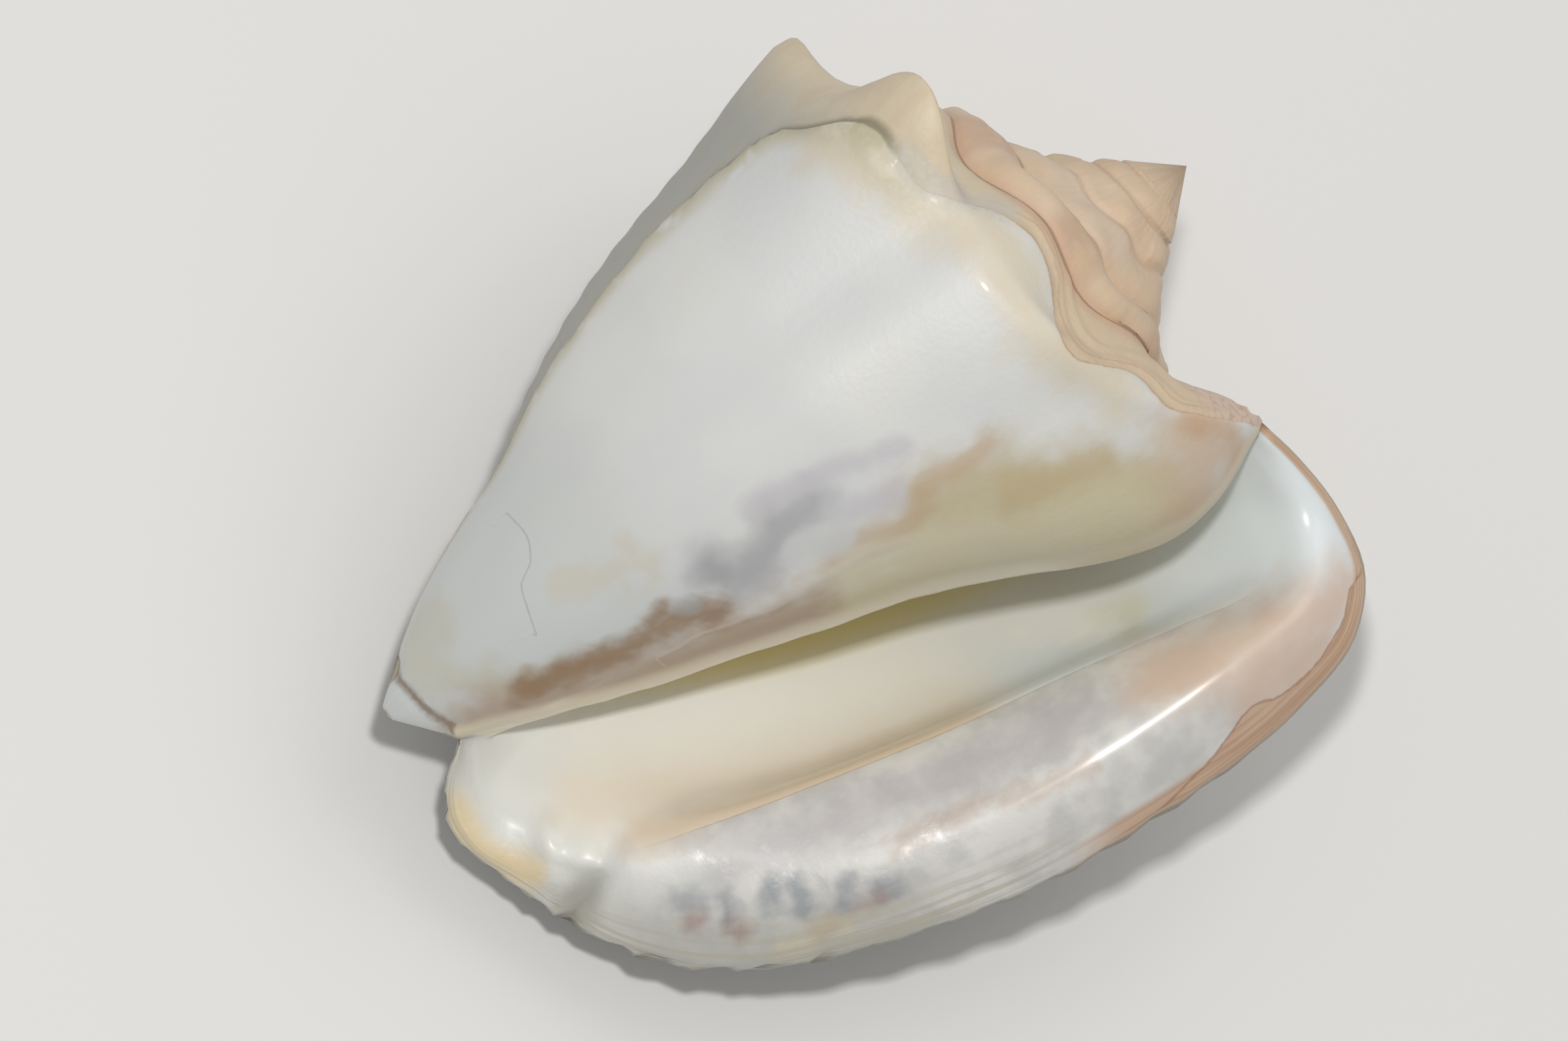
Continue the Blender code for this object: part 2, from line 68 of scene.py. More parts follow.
# The coil. Radii shrink by WHORL_RATIO in each turn back towards the apex, and by less down on the
# canal. The body whorl's middle leans away from the axis towards the tip, which lies beside it.
APEX_HEIGHT = 150.5
WHORL_RATIO = 1.43
CANAL_RATIO = 1.15
CANAL_HEIGHT = 10
CANAL_BLEND = 70
SPIRE_RATIO = 1.47
TIP_LEAN = -7.6
LEAN_ENDS = 125
TIP = (TIP_LEAN, 0, 0)

# The suture: growth angle, radius and height. It climbs the lip's posterior wing at the start.
SUTURE = (
    (0, 38.4, 135), (10, 37, 132.8), (22, 34.5, 129.2), (38, 32.8, 126), (60, 32, 124),
    (90, 31.4, 122.8), (180, 30.2, 123), (225, 31.6, 121.6), (258, 31, 122), (290, 28.8, 123),
    (322, 26.4, 124.1), (360, 25, 124.4), (450, 23.9, 125.8), (540, 22.8, 127), (720, 18.1, 129.5),
    (900, 14.7, 132.8), (1080, 11.9, 135.8), (1260, 9.8, 138.3),
)

# The suture waves towards the apex between the knobs, by this share of its radius.
SUTURE_WAVE = 0.055
WAVE_CREST = 258
WAVE_STARTS = 130
WAVE_ENDS = 1150
WAVE_FADE = 60

# The ramp from the suture to under the shoulder, as fractions of its width and of its drop. It is
# rounder past ROUND_STARTS, above the aperture, and straighter on the early whorls. Next to the lip
# it rises as a ridge to the lip's corner.
RAMP = ((0, 0), (0.25, 0.08), (0.48, 0.28), (0.71, 0.54), (0.93, 0.72), (1, 1))
ROUND_RAMP = ((0, 0), (0.31, 0.22), (0.58, 0.42), (0.8, 0.61), (0.94, 0.79), (1, 1))
ROUND_STARTS = 225
ROUND_FADE = 40
STRAIGHT_FROM = 760
RIDGE = ((0, 0), (0.15, 0.3), (0.34, 0.57), (0.56, 0.78), (0.8, 0.92), (1, 1))

# The body whorl's left side, radius and height, from under the shoulder to beside the notch.
BODY = (
    (47.2, 106.5), (46, 98), (44.2, 89), (41.1, 75.5), (36.9, 63.5), (29.5, 48.5), (21.2, 35),
    (17.1, 26), (11.5, 15.5), (6, 7.5),
)

# How much fuller the body whorl is behind the lip, by height, over the coil's own growth.
FULLNESS = ((0, 0), (10, 7), (22, 10), (38, 11), (54, 6), (68, 1), (84, -1.2), (100, -0.5), (140, 0))
FULLNESS_STARTS = 125

# The inner lip: radius and height of the edge of the aperture's left side, down to the notch.
INNER_LIP = (
    (38.4, 135), (40, 131), (41.9, 127), (43.9, 121.5), (44.8, 115.5), (43.3, 106.5), (40.2, 98.5),
    (36.9, 92), (31, 78), (26.7, 62.5), (22.4, 47.5), (18, 32), (12.9, 17.5), (10.5, 11.5), (9.2, 7),
)
INNER_LIP_STARTS = 275

# The outer lip's rim, from the suture round to the notch beside the tip.
RIM = (
    (38.4, 0, 135), (46, 5, 136.8), (56.5, 8.5, 137.3), (66.5, 9, 134.8), (73.5, 7, 127.5),
    (77.2, 5, 113.5), (78, 4, 98), (77, 3.5, 83), (75, 3, 67), (71, 2.5, 51.5), (65, 3, 35),
    (58.5, 4.5, 21.5), (51, 6.5, 13), (42, 8, 6.8), (33, 8.5, 3), (25, 8, 0), (17, 6.5, -2.5),
    (10, 5, -1.6), (6, 3, 1.7), (2, 0, 7),
)

# Lines inside the lip: the share of the rim passed, then the place. First the rolled glaze.
ROLL = (
    (0, 39.3, 2, 132), (0.096, 55, 5, 131.5), (0.145, 61, 2.5, 128.5), (0.2, 64.5, -2.5, 122),
    (0.27, 65, -5.7, 109), (0.35, 64.3, -5.9, 92), (0.45, 62, -4.8, 71), (0.55, 57.5, -3.4, 51),
    (0.65, 51, -1.7, 33.5), (0.74, 43, 0.5, 20), (0.8, 35.5, 2.3, 12.5), (0.86, 26.5, 5, 6.5),
    (0.91, 17.5, 5, 1.8), (0.96, 9, 3.5, 3.5), (1, 3, 2.2, 8),
)
# The crest where the roll turns down into the channel.
CREST = (
    (0, 39.6, 5, 129.5), (0.05, 44, 7, 129), (0.1, 50, 9, 127.5), (0.15, 56.5, 7.5, 124),
    (0.2, 58.5, 6, 118.5), (0.27, 56, 5.5, 107), (0.37, 51.5, 5, 88.5), (0.47, 47, 4, 68),
    (0.57, 41.5, 2, 47.5), (0.67, 36, 0.5, 29), (0.76, 31, 1.5, 16), (0.83, 24.5, 4, 9.5),
    (0.9, 16, 5.5, 6), (0.95, 9.5, 5, 6), (1, 4, 4, 9.5),
)
# The floor of the channel behind the crest.
FLOOR = (
    (0, 38.6, 11, 125), (0.08, 45, 14, 123.5), (0.15, 51.5, 16, 117), (0.25, 52, 17, 106),
    (0.37, 48.5, 17, 88), (0.47, 44, 16, 69), (0.57, 38.5, 14, 50), (0.67, 30.5, 12, 33.5),
    (0.76, 21.5, 9, 22.5), (0.85, 15.5, 8.5, 15), (0.93, 9.5, 7.5, 11), (1, 5, 6, 11.5),
)

# The lip's back: it stands off the roll, the crest and the floor by these thicknesses, and meets the
# coiled body whorl at FLARE_TURN. The floor's back lies away from the aperture's middle.
FLARE_TURN = 42
ROLL_BACKING = (0, 9, 0)
CREST_BACKING = (2, 8.5, 0)
FLOOR_BACKING = 5.5
APERTURE_MIDDLE = (15, -40, 70)
# Share of the way from the rim to FLARE_TURN at each of those, then at the body whorl, and past it.
BACK_PLACES = (0, 0.08, 0.3, 0.52, 0.7, 1, 1.25)
JUNCTION_SHARE = 0.1

# Half the thickness of the rim, at even places from the suture round to the notch, and how far
# inward its back and its front begin, as a share of that.
RIM_HALF_THICKNESS = (1.6, 1.8, 2.6, 3, 2.8, 2.4, 1.8, 1.2, 0.7)
RIM_BACK_INSET = 0.7
RIM_FRONT_INSET = 0.8

# The hollow behind the channel, radius and height at a quarter turn, on its outer and inner sides.
HOLLOW_OUTER = (
    (34.5, 117), (43.5, 112.5), (46.2, 104), (45.5, 92), (41, 75), (33.5, 58), (25, 44), (17.5, 33),
    (11, 26),
)
HOLLOW_INNER = (
    (34.5, 117), (37, 109), (36, 100), (33.5, 88), (29, 74), (24, 60), (19, 47), (14.5, 36), (11, 26),
)
# The hollow's sections lie this far apart, up to its blind end, and its lower end climbs the pillar.
SECTION_STEP = 45
SECTIONS = 10
LOWER_END = 18
HOLLOW_END = (465, 21, 98)
# Share of the way in at the rim, its inner round, the roll, the crest, the floor and the last section.
DEPTHS = (0, 0.03, 0.09, 0.15, 0.21, 1)
# Polar angle of the inner lip's wall, and its radius as a share, at the first five of those depths.
WALL_START = ((0, 1), (2, 1), (6, 0.99), (11, 0.975), (19, 0.95))

# Knobs on the shoulder of the body whorl: growth angle, and how far each stands out and up from a
# place on the shoulder. It fades over a longer way down than up.
KNOBS = ((56, 13, 7.5), (116, 14.5, 8.5), (179, 5.2, 3.4), (229, 8.2, 7.4), (285, 2.5, 1.5))
KNOB_PITCH = 53
KNOB_HALF_WIDTH = 12.5
KNOB_PLACE = 0.87 * BAND_STEPS
KNOB_FADE_UP = DETAIL
KNOB_FADE_DOWN = 3.2 * DETAIL
# The spire's whorls start here and swell over the first SPIRE_FADE degrees. They are round, with
# knobs on them, and both stand out by a share of the whorl's width.
SPIRE_STARTS = 360
SPIRE_FADE = 70
SPIRE_ROUND = 0.13
SPIRE_KNOB = 0.17
SPIRE_SWELL_SKEW = 1.3
# Nearer the apex the spire is calmer: it loses SPIRE_CALM of both.
SPIRE_CALM = 0.7
CALM_STARTS = 620
CALM_FADE = 300
# The shoulder against growth angle: its height, and how far it lies in from the coil's own growth.
# The height drops as the whorl grows. The second grows from nothing over SLIMMING above SLIM_FROM.
SHOULDER = (
    (0, 105, 0), (48, 105.5, 0), (126, 106, 0), (180, 107, 0), (206, 108, 0), (232, 112.5, 0.8),
    (246, 111, 3.2), (262, 110, 1.5), (285, 109.5, 3), (320, 111, 2.2), (360, 114, 0),
)
SLIM_FROM = 30
SLIMMING = 75

# How it lies: turned about its long axis, then about the crosswise one, from aperture straight up.
ROLL_AT_REST = 2.28
PITCH_AT_REST = 17.33

# The camera: the picture's width in pixels, the point it looks at in the shell's frame, how many
# degrees below level it stands and the coiling axis climbs in the picture, its distance in
# millimetres and the scale at that point.
PICTURE_WIDTH = 2361
LOOK_AT = (5.9, 0, 67)
LOOK_DOWN = 5
AXIS_CLIMB = 37.3
CAMERA_DISTANCE = 2500
PIXELS_PER_MM = 9.8
SENSOR_WIDTH = 36

# Soft stains on the body whorl's aperture side. Each has its colour and strength and, unless they
# are the usual ones, how ragged and how soft its edge is and the noise that makes it so. Then come how
# far it reaches from its lines, and the lines as X and Z.
STAINS = {
    "orange": ((184, 156, 118, 0.55, 1.1, 1, "streaky"), 1.8,
        ((14, 67), (15, 73), (17, 81), (15, 85), (15, 94), (14, 96))),
    "mauve": ((170, 150, 129, 0.9), 3.6, ((1, 10), (4, 17), (7, 25), (11, 35), (14, 45), (19, 61))),
    "brown": ((139, 108, 70, 0.88, 0.9, 1, "flamed"), 1.7, ((2, 18), (5, 29), (7, 38), (6, 42)),
        ((7, 40), (9, 45), (11, 50))),
    "lilac": ((166, 166, 170, 0.85), 3.2, ((5, 52), (9, 55), (8, 60), (6, 63), (7, 69))),
    "stripe": ((192, 190, 195, 0.7), 1.7, ((1, 62), (2, 66), (5, 77), (8, 85)), ((10, 71), (13, 81))),
    "blue": ((160, 163, 163, 0.6, 1.2, 1, "flamed"), 1.2, ((4, 52), (7, 53), (10, 52)),
        ((7, 45), (8, 47))),
    "khaki": ((182, 169, 134, 0.95, 0.5), 6.5, ((20, 84), (23, 94), (31, 103), (37, 112))),
    "khaki_low": ((204, 196, 166, 0.95, 0.5, 0.8), 6.5,
        ((22, 66), (24, 79), (28, 89), (32, 99), (40, 111))),
    "khaki_dark": ((180, 158, 116, 0.45, 1, 1), 2.3, ((24, 94), (26, 101), (28, 108))),
    "corner": ((202, 179, 151, 0.8, 0.8, 1), 5, ((34, 121), (37, 123), (42, 118))),
    "corner_brown": ((198, 162, 126, 0.7, 0.8, 1), 1.7, ((32, 124), (36, 128), (39, 129), (43, 125))),
    "patch": ((202, 204, 204, 0.85, 0.3, 0.5), 2.4, ((11, 64), (13, 70))),
    "cloud": ((200, 188, 162, 0.36, 2.4, 1, "flamed"), 2, ((-7, 32), (-5, 36), (-3, 40)),
        ((-5, 44), (0, 45))),
    "chalk": ((190, 187, 180, 0.75, 1.2, 0.9, "fine"), 1.9,
        ((-27, 112), (-21, 113), (-17, 115), (-11, 120))),
    "olive": ((192, 187, 166, 0.5, 1.6, 0.9), 3, ((-15, 15), (-10, 9), (-2, 15), (2, 18))),
    "cream": ((210, 198, 172, 0.75), 4.2,
        ((-36, 105), (-30, 108), (-20, 109), (-8, 115), (6, 111), (21, 117))),
}
# The same on the outer lip and in the channel behind it.
LIP_STAINS = {
    "roll_lilac": ((184, 181, 183, 0.8), 3.6,
        ((42, 29), (44, 34), (48, 47), (51, 57), (55, 75), (56, 86))),
    "flames": ((184, 166, 152, 0.65, 1.6, 0.9, "flamed"), 1.5, ((56, 50), (58, 63), (63, 74), (64, 81)),
        ((61, 96), (65, 107))),
    "spots": ((152, 128, 120, 0.75, 0.9), 1.5, ((46, 18), (46, 19)), ((50, 23), (52, 24)),
        ((59, 33), (60, 35)), ((60, 41), (61, 43))),
    "arcs": ((138, 144, 150, 0.8, 1.2, 1, "flamed"), 1.6, ((42, 18), (44, 21)), ((46, 24), (49, 24)),
        ((50, 31), (52, 29)), ((51, 34), (55, 33)), ((56, 41), (59, 38)), ((60, 44), (61, 46))),
    "yellow": ((200, 192, 164, 0.6, 0.9, 0.95, "ringed"), 1.6, ((59, 33), (61, 37)),
        ((58, 27), (60, 30))),
    "pink": ((210, 186, 166, 0.85, 0.7), 5.2,
        ((60, 99), (63, 108), (65, 117), (67, 125), (67, 129)), ((69, 109), (72, 119))),
    "amber": ((224, 202, 156, 0.8, 0.7), 2.5, ((11, 0), (16, 0), (20, 1), (25, 4))),
    # The next entry is no stain but painted shade, laid in the dip of the notch's fold.
    "painted_dip_shade": ((156, 154, 146, 0.82, 0.6), 2.6, ((30, 16), (32, 10), (35, 5))),
    "peach": ((218, 197, 170, 0.75, 0.6), 2.8,
        ((32, 20), (34, 25), (37, 33), (40, 43), (45, 60), (49, 72))),
    "cream_floor": ((230, 220, 204, 0.9, 0.5, 0.9), 6.5,
        ((22, 17), (30, 33), (39, 51), (45, 66), (46, 76))),
    "waves": ((240, 242, 239, 0.8, 1, 0.95, "flamed"), 2.6, ((42, 89), (45, 94), (48, 97))),
    "green": ((214, 212, 182, 0.8), 3, ((47, 98), (49, 103))),
}
# Thin lines, through these places too. The pale fold and the crack are on the body whorl, and the
# groove parts the tip's lobe from it.
LINES = {
    "fold": ((10.5, 38), (12, 47), (14.5, 54.5), (16, 62), (16.5, 68.5), (19, 78)),
    "crack": ((-20, 33), (-16, 33), (-12.5, 31), (-10.5, 28), (-7.5, 26.5), (-3, 25)),
    "groove": ((-13, 6.5), (-12, 5.5), (-7.5, 5), (-3.5, 5.5), (0, 7)),
}
# The ridge and the dip are the notch's fold in the lip's canal end. The seam parts the rim's crust
# from the glaze.
LIP_LINES = {
    "ridge": ((21.5, 9.5), (25.5, 7), (30.5, 4.5), (33.5, 2.5)),
    "dip": ((29.5, 15.5), (32.5, 10), (34, 5.5), (37, 2)),
    "seam": ((77, 84), (76, 92), (74.5, 100), (72.5, 105), (74, 113.5), (73.5, 118), (71, 126),
        (67.5, 131), (65.5, 135), (61.5, 136)),
    "flake": ((64, 47.5), (65, 49.5), (67, 53.5)),
}

# The callus on the aperture side ends along this line, as X and Z, and at these growth angles lower
# down, each with its height.
CALLUS_TOP = (
    (-60, 88), (-42, 100.5), (-35, 110), (-28, 110.5), (-21, 111), (-17, 113.5), (-12, 118),
    (-5.5, 120), (1.5, 118), (8, 114), (13, 114), (20, 120), (29.5, 123), (33, 127), (38.5, 133.5),
    (60, 150),
)
CALLUS_SIDE = ((0, 176), (30, 189), (58, 197), (79, 200), (91, 202), (101, 207), (112, 222))

# The apex is worn down by this much, and rounded.
APEX_WEAR = 0.7

# Half the width of the floor, in metres.
FLOOR_REACH = 6

# Which side of the skin a corner belongs to.
OUTSIDE, LIP, WALL = 0, 1, 2


def smooth(knots, values, where):
    """Values at `where` on a smooth line that passes through `values` at `knots`."""
    knots, values, where = (np.asarray(given, float) for given in (knots, values, where))
    extra = (1,) * (values.ndim - 1)
    steps = np.diff(knots).reshape((-1,) + extra)
    slopes = np.diff(values, axis=0) / steps
    inner = (steps[1:] * slopes[:-1] + steps[:-1] * slopes[1:]) / (steps[1:] + steps[:-1])
    tangents = np.concatenate([slopes[:1], inner, slopes[-1:]])
    place = np.clip(np.searchsorted(knots, where, side="right") - 1, 0, len(knots) - 2)
    step = steps[place]
    s = (where - knots[place]).reshape(where.shape + extra) / step
    rise = s * s * (3 - 2 * s)
    start = values[place] * (1 - rise) + tangents[place] * step * s * (1 - s) ** 2
    return start + values[place + 1] * rise - tangents[place + 1] * step * s * s * (1 - s)


def evenly(steps):
    """Places that part the way from 0 to 1 into this many steps."""
    return np.linspace(0, 1, steps + 1)


def unit(vectors):
    """Vectors made 1 long."""
    return vectors / np.maximum(np.linalg.norm(vectors, axis=1, keepdims=True), 1e-9)


def read(table, where):
    """What the columns of a table say where its first column is `where`."""
    table = np.array(table, float)
    return smooth(table[:, 0], table[:, 1:], where)


def travelled(points):
    """How far each point lies along the line through them all."""
    return np.append(0, np.cumsum(np.linalg.norm(np.diff(points, axis=0), axis=1)))


def along(points, where):
    """Points at fractions `where` of the way along a smooth line through `points`."""
    points = np.asarray(points, float)
    gone = travelled(points)
    return smooth(gone / gone[-1], points, where)


def ease(value):
    """0 below 0, 1 above 1, and a smooth rise between."""
    value = np.clip(value, 0, 1)
    return value * value * (3 - 2 * value)


def lean(height):
    """How far the whorl's middle lies from the axis, along X."""
    return TIP_LEAN * np.clip(1 - np.asarray(height, float) / LEAN_ENDS, 0, 1)


def upright(turn, radius, height):
    """Cylindrical places as X, Y and Z."""
    angle = np.radians(turn)
    return np.stack([radius * np.cos(angle) + lean(height), radius * np.sin(angle), height], axis=-1)


def suture(turn):
    """Radius and height of the suture. In the last turn it closes on the turn before it."""
    last_turn, last_radius, last_height = SUTURE[-1]
    found = read(SUTURE, turn)
    if turn > last_turn:
        shrink = SPIRE_RATIO ** ((last_turn - turn) / 360)
        found = np.array([last_radius * shrink, APEX_HEIGHT - (APEX_HEIGHT - last_height) * shrink])
    strength = ease((turn - WAVE_STARTS) / WAVE_FADE) * ease((WAVE_ENDS - turn) / WAVE_FADE)
    wave = np.cos(2 * np.pi * (turn - WAVE_CREST) / KNOB_PITCH)
    found[1] += SUTURE_WAVE * found[0] * strength * wave
    closing = ease(turn / 360 - TURNS + 1)
    if closing > 0:
        found = (1 - closing) * found + closing * suture(turn - 360)
    return found


def knob_size(turn):
    """How far the body whorl's knobs stand out and up at a growth angle."""
    knobs = np.array(KNOBS)
    shares = np.exp(-(((turn - knobs[:, 0]) / KNOB_HALF_WIDTH) ** 2))
    return shares @ knobs[:, 1:]


def ramp(turn, lower, shape=RAMP):
    """Radius and height from the suture down to `lower`, just under the shoulder."""
    upper = suture(turn)
    even = evenly(BAND_STEPS)
    curved = along(shape, even)
    if shape is RAMP:
        curved += ease((turn - ROUND_STARTS) / ROUND_FADE) * (along(ROUND_RAMP, even) - curved)
    straight = ease((turn - 360) / (STRAIGHT_FROM - 360))
    fractions = (1 - straight) * curved + straight * even[:, None]
    return upper + fractions * (np.asarray(lower) - upper)


def spire_band(turn):
    """Radius and height over a spire whorl, from its suture to the suture below it."""
    band = ramp(turn, suture(turn - 360))
    width, drop = suture(turn - 360) - suture(turn)
    nearest = (turn - KNOBS[-1][0] + KNOB_PITCH / 2) % KNOB_PITCH - KNOB_PITCH / 2
    knob = SPIRE_KNOB * np.exp(-((nearest / KNOB_HALF_WIDTH) ** 2))
    even = evenly(BAND_STEPS)[:, None]
    swell = knob * np.sin(np.pi * even**SPIRE_SWELL_SKEW) ** 2 + SPIRE_ROUND * np.sin(np.pi * even)
    calm = SPIRE_CALM * ease((turn - CALM_STARTS) / CALM_FADE)
    strength = ease((turn - SPIRE_STARTS) / SPIRE_FADE) * (1 - calm)
    return band + strength * swell * np.array([-drop, width])


def down_to_tip(band, body):
    """A profile's two parts and a straight last stretch to the tip, in one."""
    tip = np.linspace(body[-1], (0, TIP[2]), TIP_STEPS + 1)
    return np.concatenate([band[:-1], body, tip[1:]])


def coiled_profile(turn):
    """Radius and height over the body whorl as it coils, before the lips change it."""
    body = along(BODY, evenly(BODY_STEPS))
    growth = CANAL_RATIO + (WHORL_RATIO - CANAL_RATIO) * ease((body[:, 1] - CANAL_HEIGHT) / CANAL_BLEND)
    body[:, 0] *= growth ** ((180 - turn) / 360)
    share = ease((FULLNESS_STARTS - turn) / (FULLNESS_STARTS - FLARE_TURN))
    body[:, 0] += share * read(FULLNESS, body[:, 1])[:, 0]
    height, slimmer = read(SHOULDER, turn)
    body[:, 0] -= slimmer * ease((body[:, 1] - SLIM_FROM) / SLIMMING)
    body[:, 1] *= height / BODY[0][1]
    profile = down_to_tip(ramp(turn, body[0]), body)
    steps_below = np.arange(len(profile)) - KNOB_PLACE
    fade = np.where(steps_below < 0, KNOB_FADE_UP, KNOB_FADE_DOWN)
    knob = np.exp(-((steps_below / fade) ** 2))[:, None] * knob_size(turn)
    knob[0] = 0
    return profile + knob


def inner_lip_profile():
    """Radius and height along the aperture's left edge, with the ridge above it and the tip."""
    return down_to_tip(ramp(360, suture(0), RIDGE), along(INNER_LIP, evenly(BODY_STEPS)))


def body_profile(turn):
    """X, Y and Z over the body whorl at a growth angle from the flare back to the inner lip."""
    blend = ease((turn - INNER_LIP_STARTS) / (360 - INNER_LIP_STARTS))
    profile = (1 - blend) * coiled_profile(turn) + blend * inner_lip_profile()
    return upright(turn, *profile.T)


def lip_lines():
    """The outer lip's rim, roll, crest and floor, with one point for each mouth column."""
    places = evenly(MOUTH_STEPS)
    return [along(RIM, places)] + [read(line, places) for line in (ROLL, CREST, FLOOR)]


def rim_sides(rim):
    """The back and the front of the rounded rim."""
    travel = np.gradient(rim, axis=0)
    outward = unit(np.stack([-travel[:, 2], np.zeros(len(rim)), travel[:, 0]], axis=-1))
    knots = evenly(len(RIM_HALF_THICKNESS) - 1)
    half = smooth(knots, RIM_HALF_THICKNESS, evenly(MOUTH_STEPS))[:, None]
    backward = np.array([0, 1, 0])
    back = rim - outward * half * RIM_BACK_INSET + backward * half
    front = rim - outward * half * RIM_FRONT_INSET - backward * half
    return back, front


def lip_back_rows():
    """Rows of the outer lip's back, from the rim to the body whorl at FLARE_TURN."""
    rim, roll, crest, floor = lip_lines()
    back, _ = rim_sides(rim)
    away = unit(floor - APERTURE_MIDDLE)
    lines = [rim, back, roll + ROLL_BACKING, crest + CREST_BACKING, floor + away * FLOOR_BACKING]
    lines += [body_profile(place * FLARE_TURN)[: MOUTH_STEPS + 1] for place in BACK_PLACES[-2:]]
    count = round(FLARE_TURN / 360 * STEPS_PER_TURN)
    rows = smooth(BACK_PLACES, np.array(lines), np.arange(count) / count)
    shares = evenly(MOUTH_STEPS)[:, None]
    ends = [profile[MOUTH_STEPS:] for profile in (inner_lip_profile(), coiled_profile(FLARE_TURN))]
    finished = []
    for index, row in enumerate(rows):
        turn = index / count * FLARE_TURN
        end = ends[0] + (ends[1] - ends[0]) * index / count
        tail = upright(turn, *end.T)
        top_gap = upright(turn, *suture(turn)) - row[0]
        low_gap = tail[0] - row[-1]
        row = row + top_gap * (1 - ease(shares / JUNCTION_SHARE))
        row = row + low_gap * (1 - ease((1 - shares) / JUNCTION_SHARE))
        finished.append(np.concatenate([row, tail[1:]]))
    return finished


def outside_rows():
    """Every row of the outside, from the rim back to the top of the spire."""
    rows = lip_back_rows()
    for index in range(len(rows), TURNS * STEPS_PER_TURN + 1):
        turn = index * 360 / STEPS_PER_TURN
        rows.append(body_profile(turn) if turn <= 360 else upright(turn, *spire_band(turn).T))
    return rows


def hollow_section(profile, turn, steps):
    """One side of a deep section of the hollow, in `steps` from top to bottom."""
    section = along(profile, evenly(steps))
    top, bottom = profile[0][1], profile[-1][1]
    lower_end = APEX_HEIGHT - (APEX_HEIGHT - LOWER_END) * WHORL_RATIO ** ((SECTION_STEP - turn) / 360)
    section[:, 0] *= WHORL_RATIO ** ((90 - turn) / 360)
    section[:, 1] = top - (top - section[:, 1]) * (top - lower_end) / (top - bottom)
    return upright(turn, *section.T)


def aperture_rows():
    """Rows of the outer lip's inside and of the wall opposite, from the rim to the hollow's end."""
    rim, roll, crest, floor = lip_lines()
    _, front = rim_sides(rim)
    front[0], front[-1] = (rim[0] * 2 + roll[0]) / 3, (rim[-1] * 2 + roll[-1]) / 3
    outer = [rim, front, roll, crest, floor]
    edge = inner_lip_profile()[BAND_STEPS : MOUTH_STEPS + 1]
    wall = [upright(angle, edge[:, 0] * share, edge[:, 1]) for angle, share in WALL_START]
    for section in range(1, SECTIONS + 1):
        outer.append(hollow_section(HOLLOW_OUTER, section * SECTION_STEP, MOUTH_STEPS))
        wall.append(hollow_section(HOLLOW_INNER, section * SECTION_STEP, BODY_STEPS))
    knots = np.append(DEPTHS[:4], np.linspace(DEPTHS[4], DEPTHS[5], SECTIONS + 1))
    depths = evenly(LUMEN_STEPS)
    outer = smooth(knots, np.array(outer), depths)
    wall = smooth(knots, np.array(wall), depths)
    settle = evenly(BODY_STEPS)[None, :, None]
    top_gap = (outer[:, 0] - wall[:, 0])[:, None, :]
    low_gap = (outer[:, -1] - wall[:, -1])[:, None, :]
    wall = wall + top_gap * (1 - settle) ** 4 + low_gap * settle**4
    return outer, wall


class Skin:
    """Gathers shared corners and the faces between them."""

    def __init__(self):
        self.corners = []
        self.marks = []
        self.faces = []

    def add(self, points, turn=0, across=0, depth=0, side=OUTSIDE, gap=99):
        """Adds a row; a corner keeps its growth angle, place across, depth, side and suture gap."""
        first = len(self.corners)
        self.corners.extend(tuple(point) for point in points)
        across = np.broadcast_to(across, len(points))
        gap = np.broadcast_to(gap, len(points))
        self.marks.extend((turn, share, depth, side, reach) for share, reach in zip(across, gap))
        return list(range(first, len(self.corners)))

    def join(self, row, next_row):
        """Quads between two rows of corners of equal length; a repeated corner gives a triangle."""
        for face in zip(row, row[1:], next_row[1:], next_row):
            kept = list(dict.fromkeys(face))
            if len(kept) > 2:
                self.faces.append(kept)

    def fan(self, centre, ring):
        for a, b in zip(ring, ring[1:]):
            self.faces.append([centre, a, b])


def build_skin():
    """The whole closed surface of the shell."""
    skin = Skin()
    rows = outside_rows()
    tip = skin.add([TIP], across=1)[0]
    named = []
    step = 360 / STEPS_PER_TURN
    body = evenly(MOUTH_STEPS + TIP_STEPS)
    band = evenly(BAND_STEPS)
    for index, points in enumerate(rows):
        turn = index * step
        gap = travelled(points)
        if index > STEPS_PER_TURN:
            # The spire's whorls have a suture on both sides, and the nearer one counts.
            gap = np.minimum(gap, gap[-1] - gap)
        if index < STEPS_PER_TURN:
            named.append(skin.add(points[:-1], turn, body[:-1], gap=gap[:-1]) + [tip])
        elif index == STEPS_PER_TURN:
            edge = slice(BAND_STEPS + 1, MOUTH_STEPS)
            mouth_edge = skin.add(points[edge], turn, body[edge], gap=gap[edge])
            upper = skin.add(points[:BAND_STEPS], turn, body[:BAND_STEPS], gap=gap[:BAND_STEPS])
            tail = named[0][MOUTH_STEPS:]
            named.append(upper + [named[0][0]] + mouth_edge + tail)
        elif index < TURNS * STEPS_PER_TURN:
            upper = skin.add(points[:-1], turn, band[:-1], gap=gap[:-1])
            named.append(upper + [named[index - STEPS_PER_TURN][0]])
        else:
            named.append([named[index - STEPS_PER_TURN][0]] * (BAND_STEPS + 1))
    for index, (row, next_row) in enumerate(zip(named, named[1:])):
        end = None if index < STEPS_PER_TURN else BAND_STEPS + 1
        skin.join(row[:end], next_row[:end])
    apex = skin.add([(0, 0, APEX_HEIGHT)], TURNS * 360)[0]
    skin.fan(apex, [row[0] for row in named[-STEPS_PER_TURN - 1 :]])
    inner_edge = named[STEPS_PER_TURN][BAND_STEPS : MOUTH_STEPS + 1]
    line_hollow(skin, named[0][: MOUTH_STEPS + 1], inner_edge)
    return skin


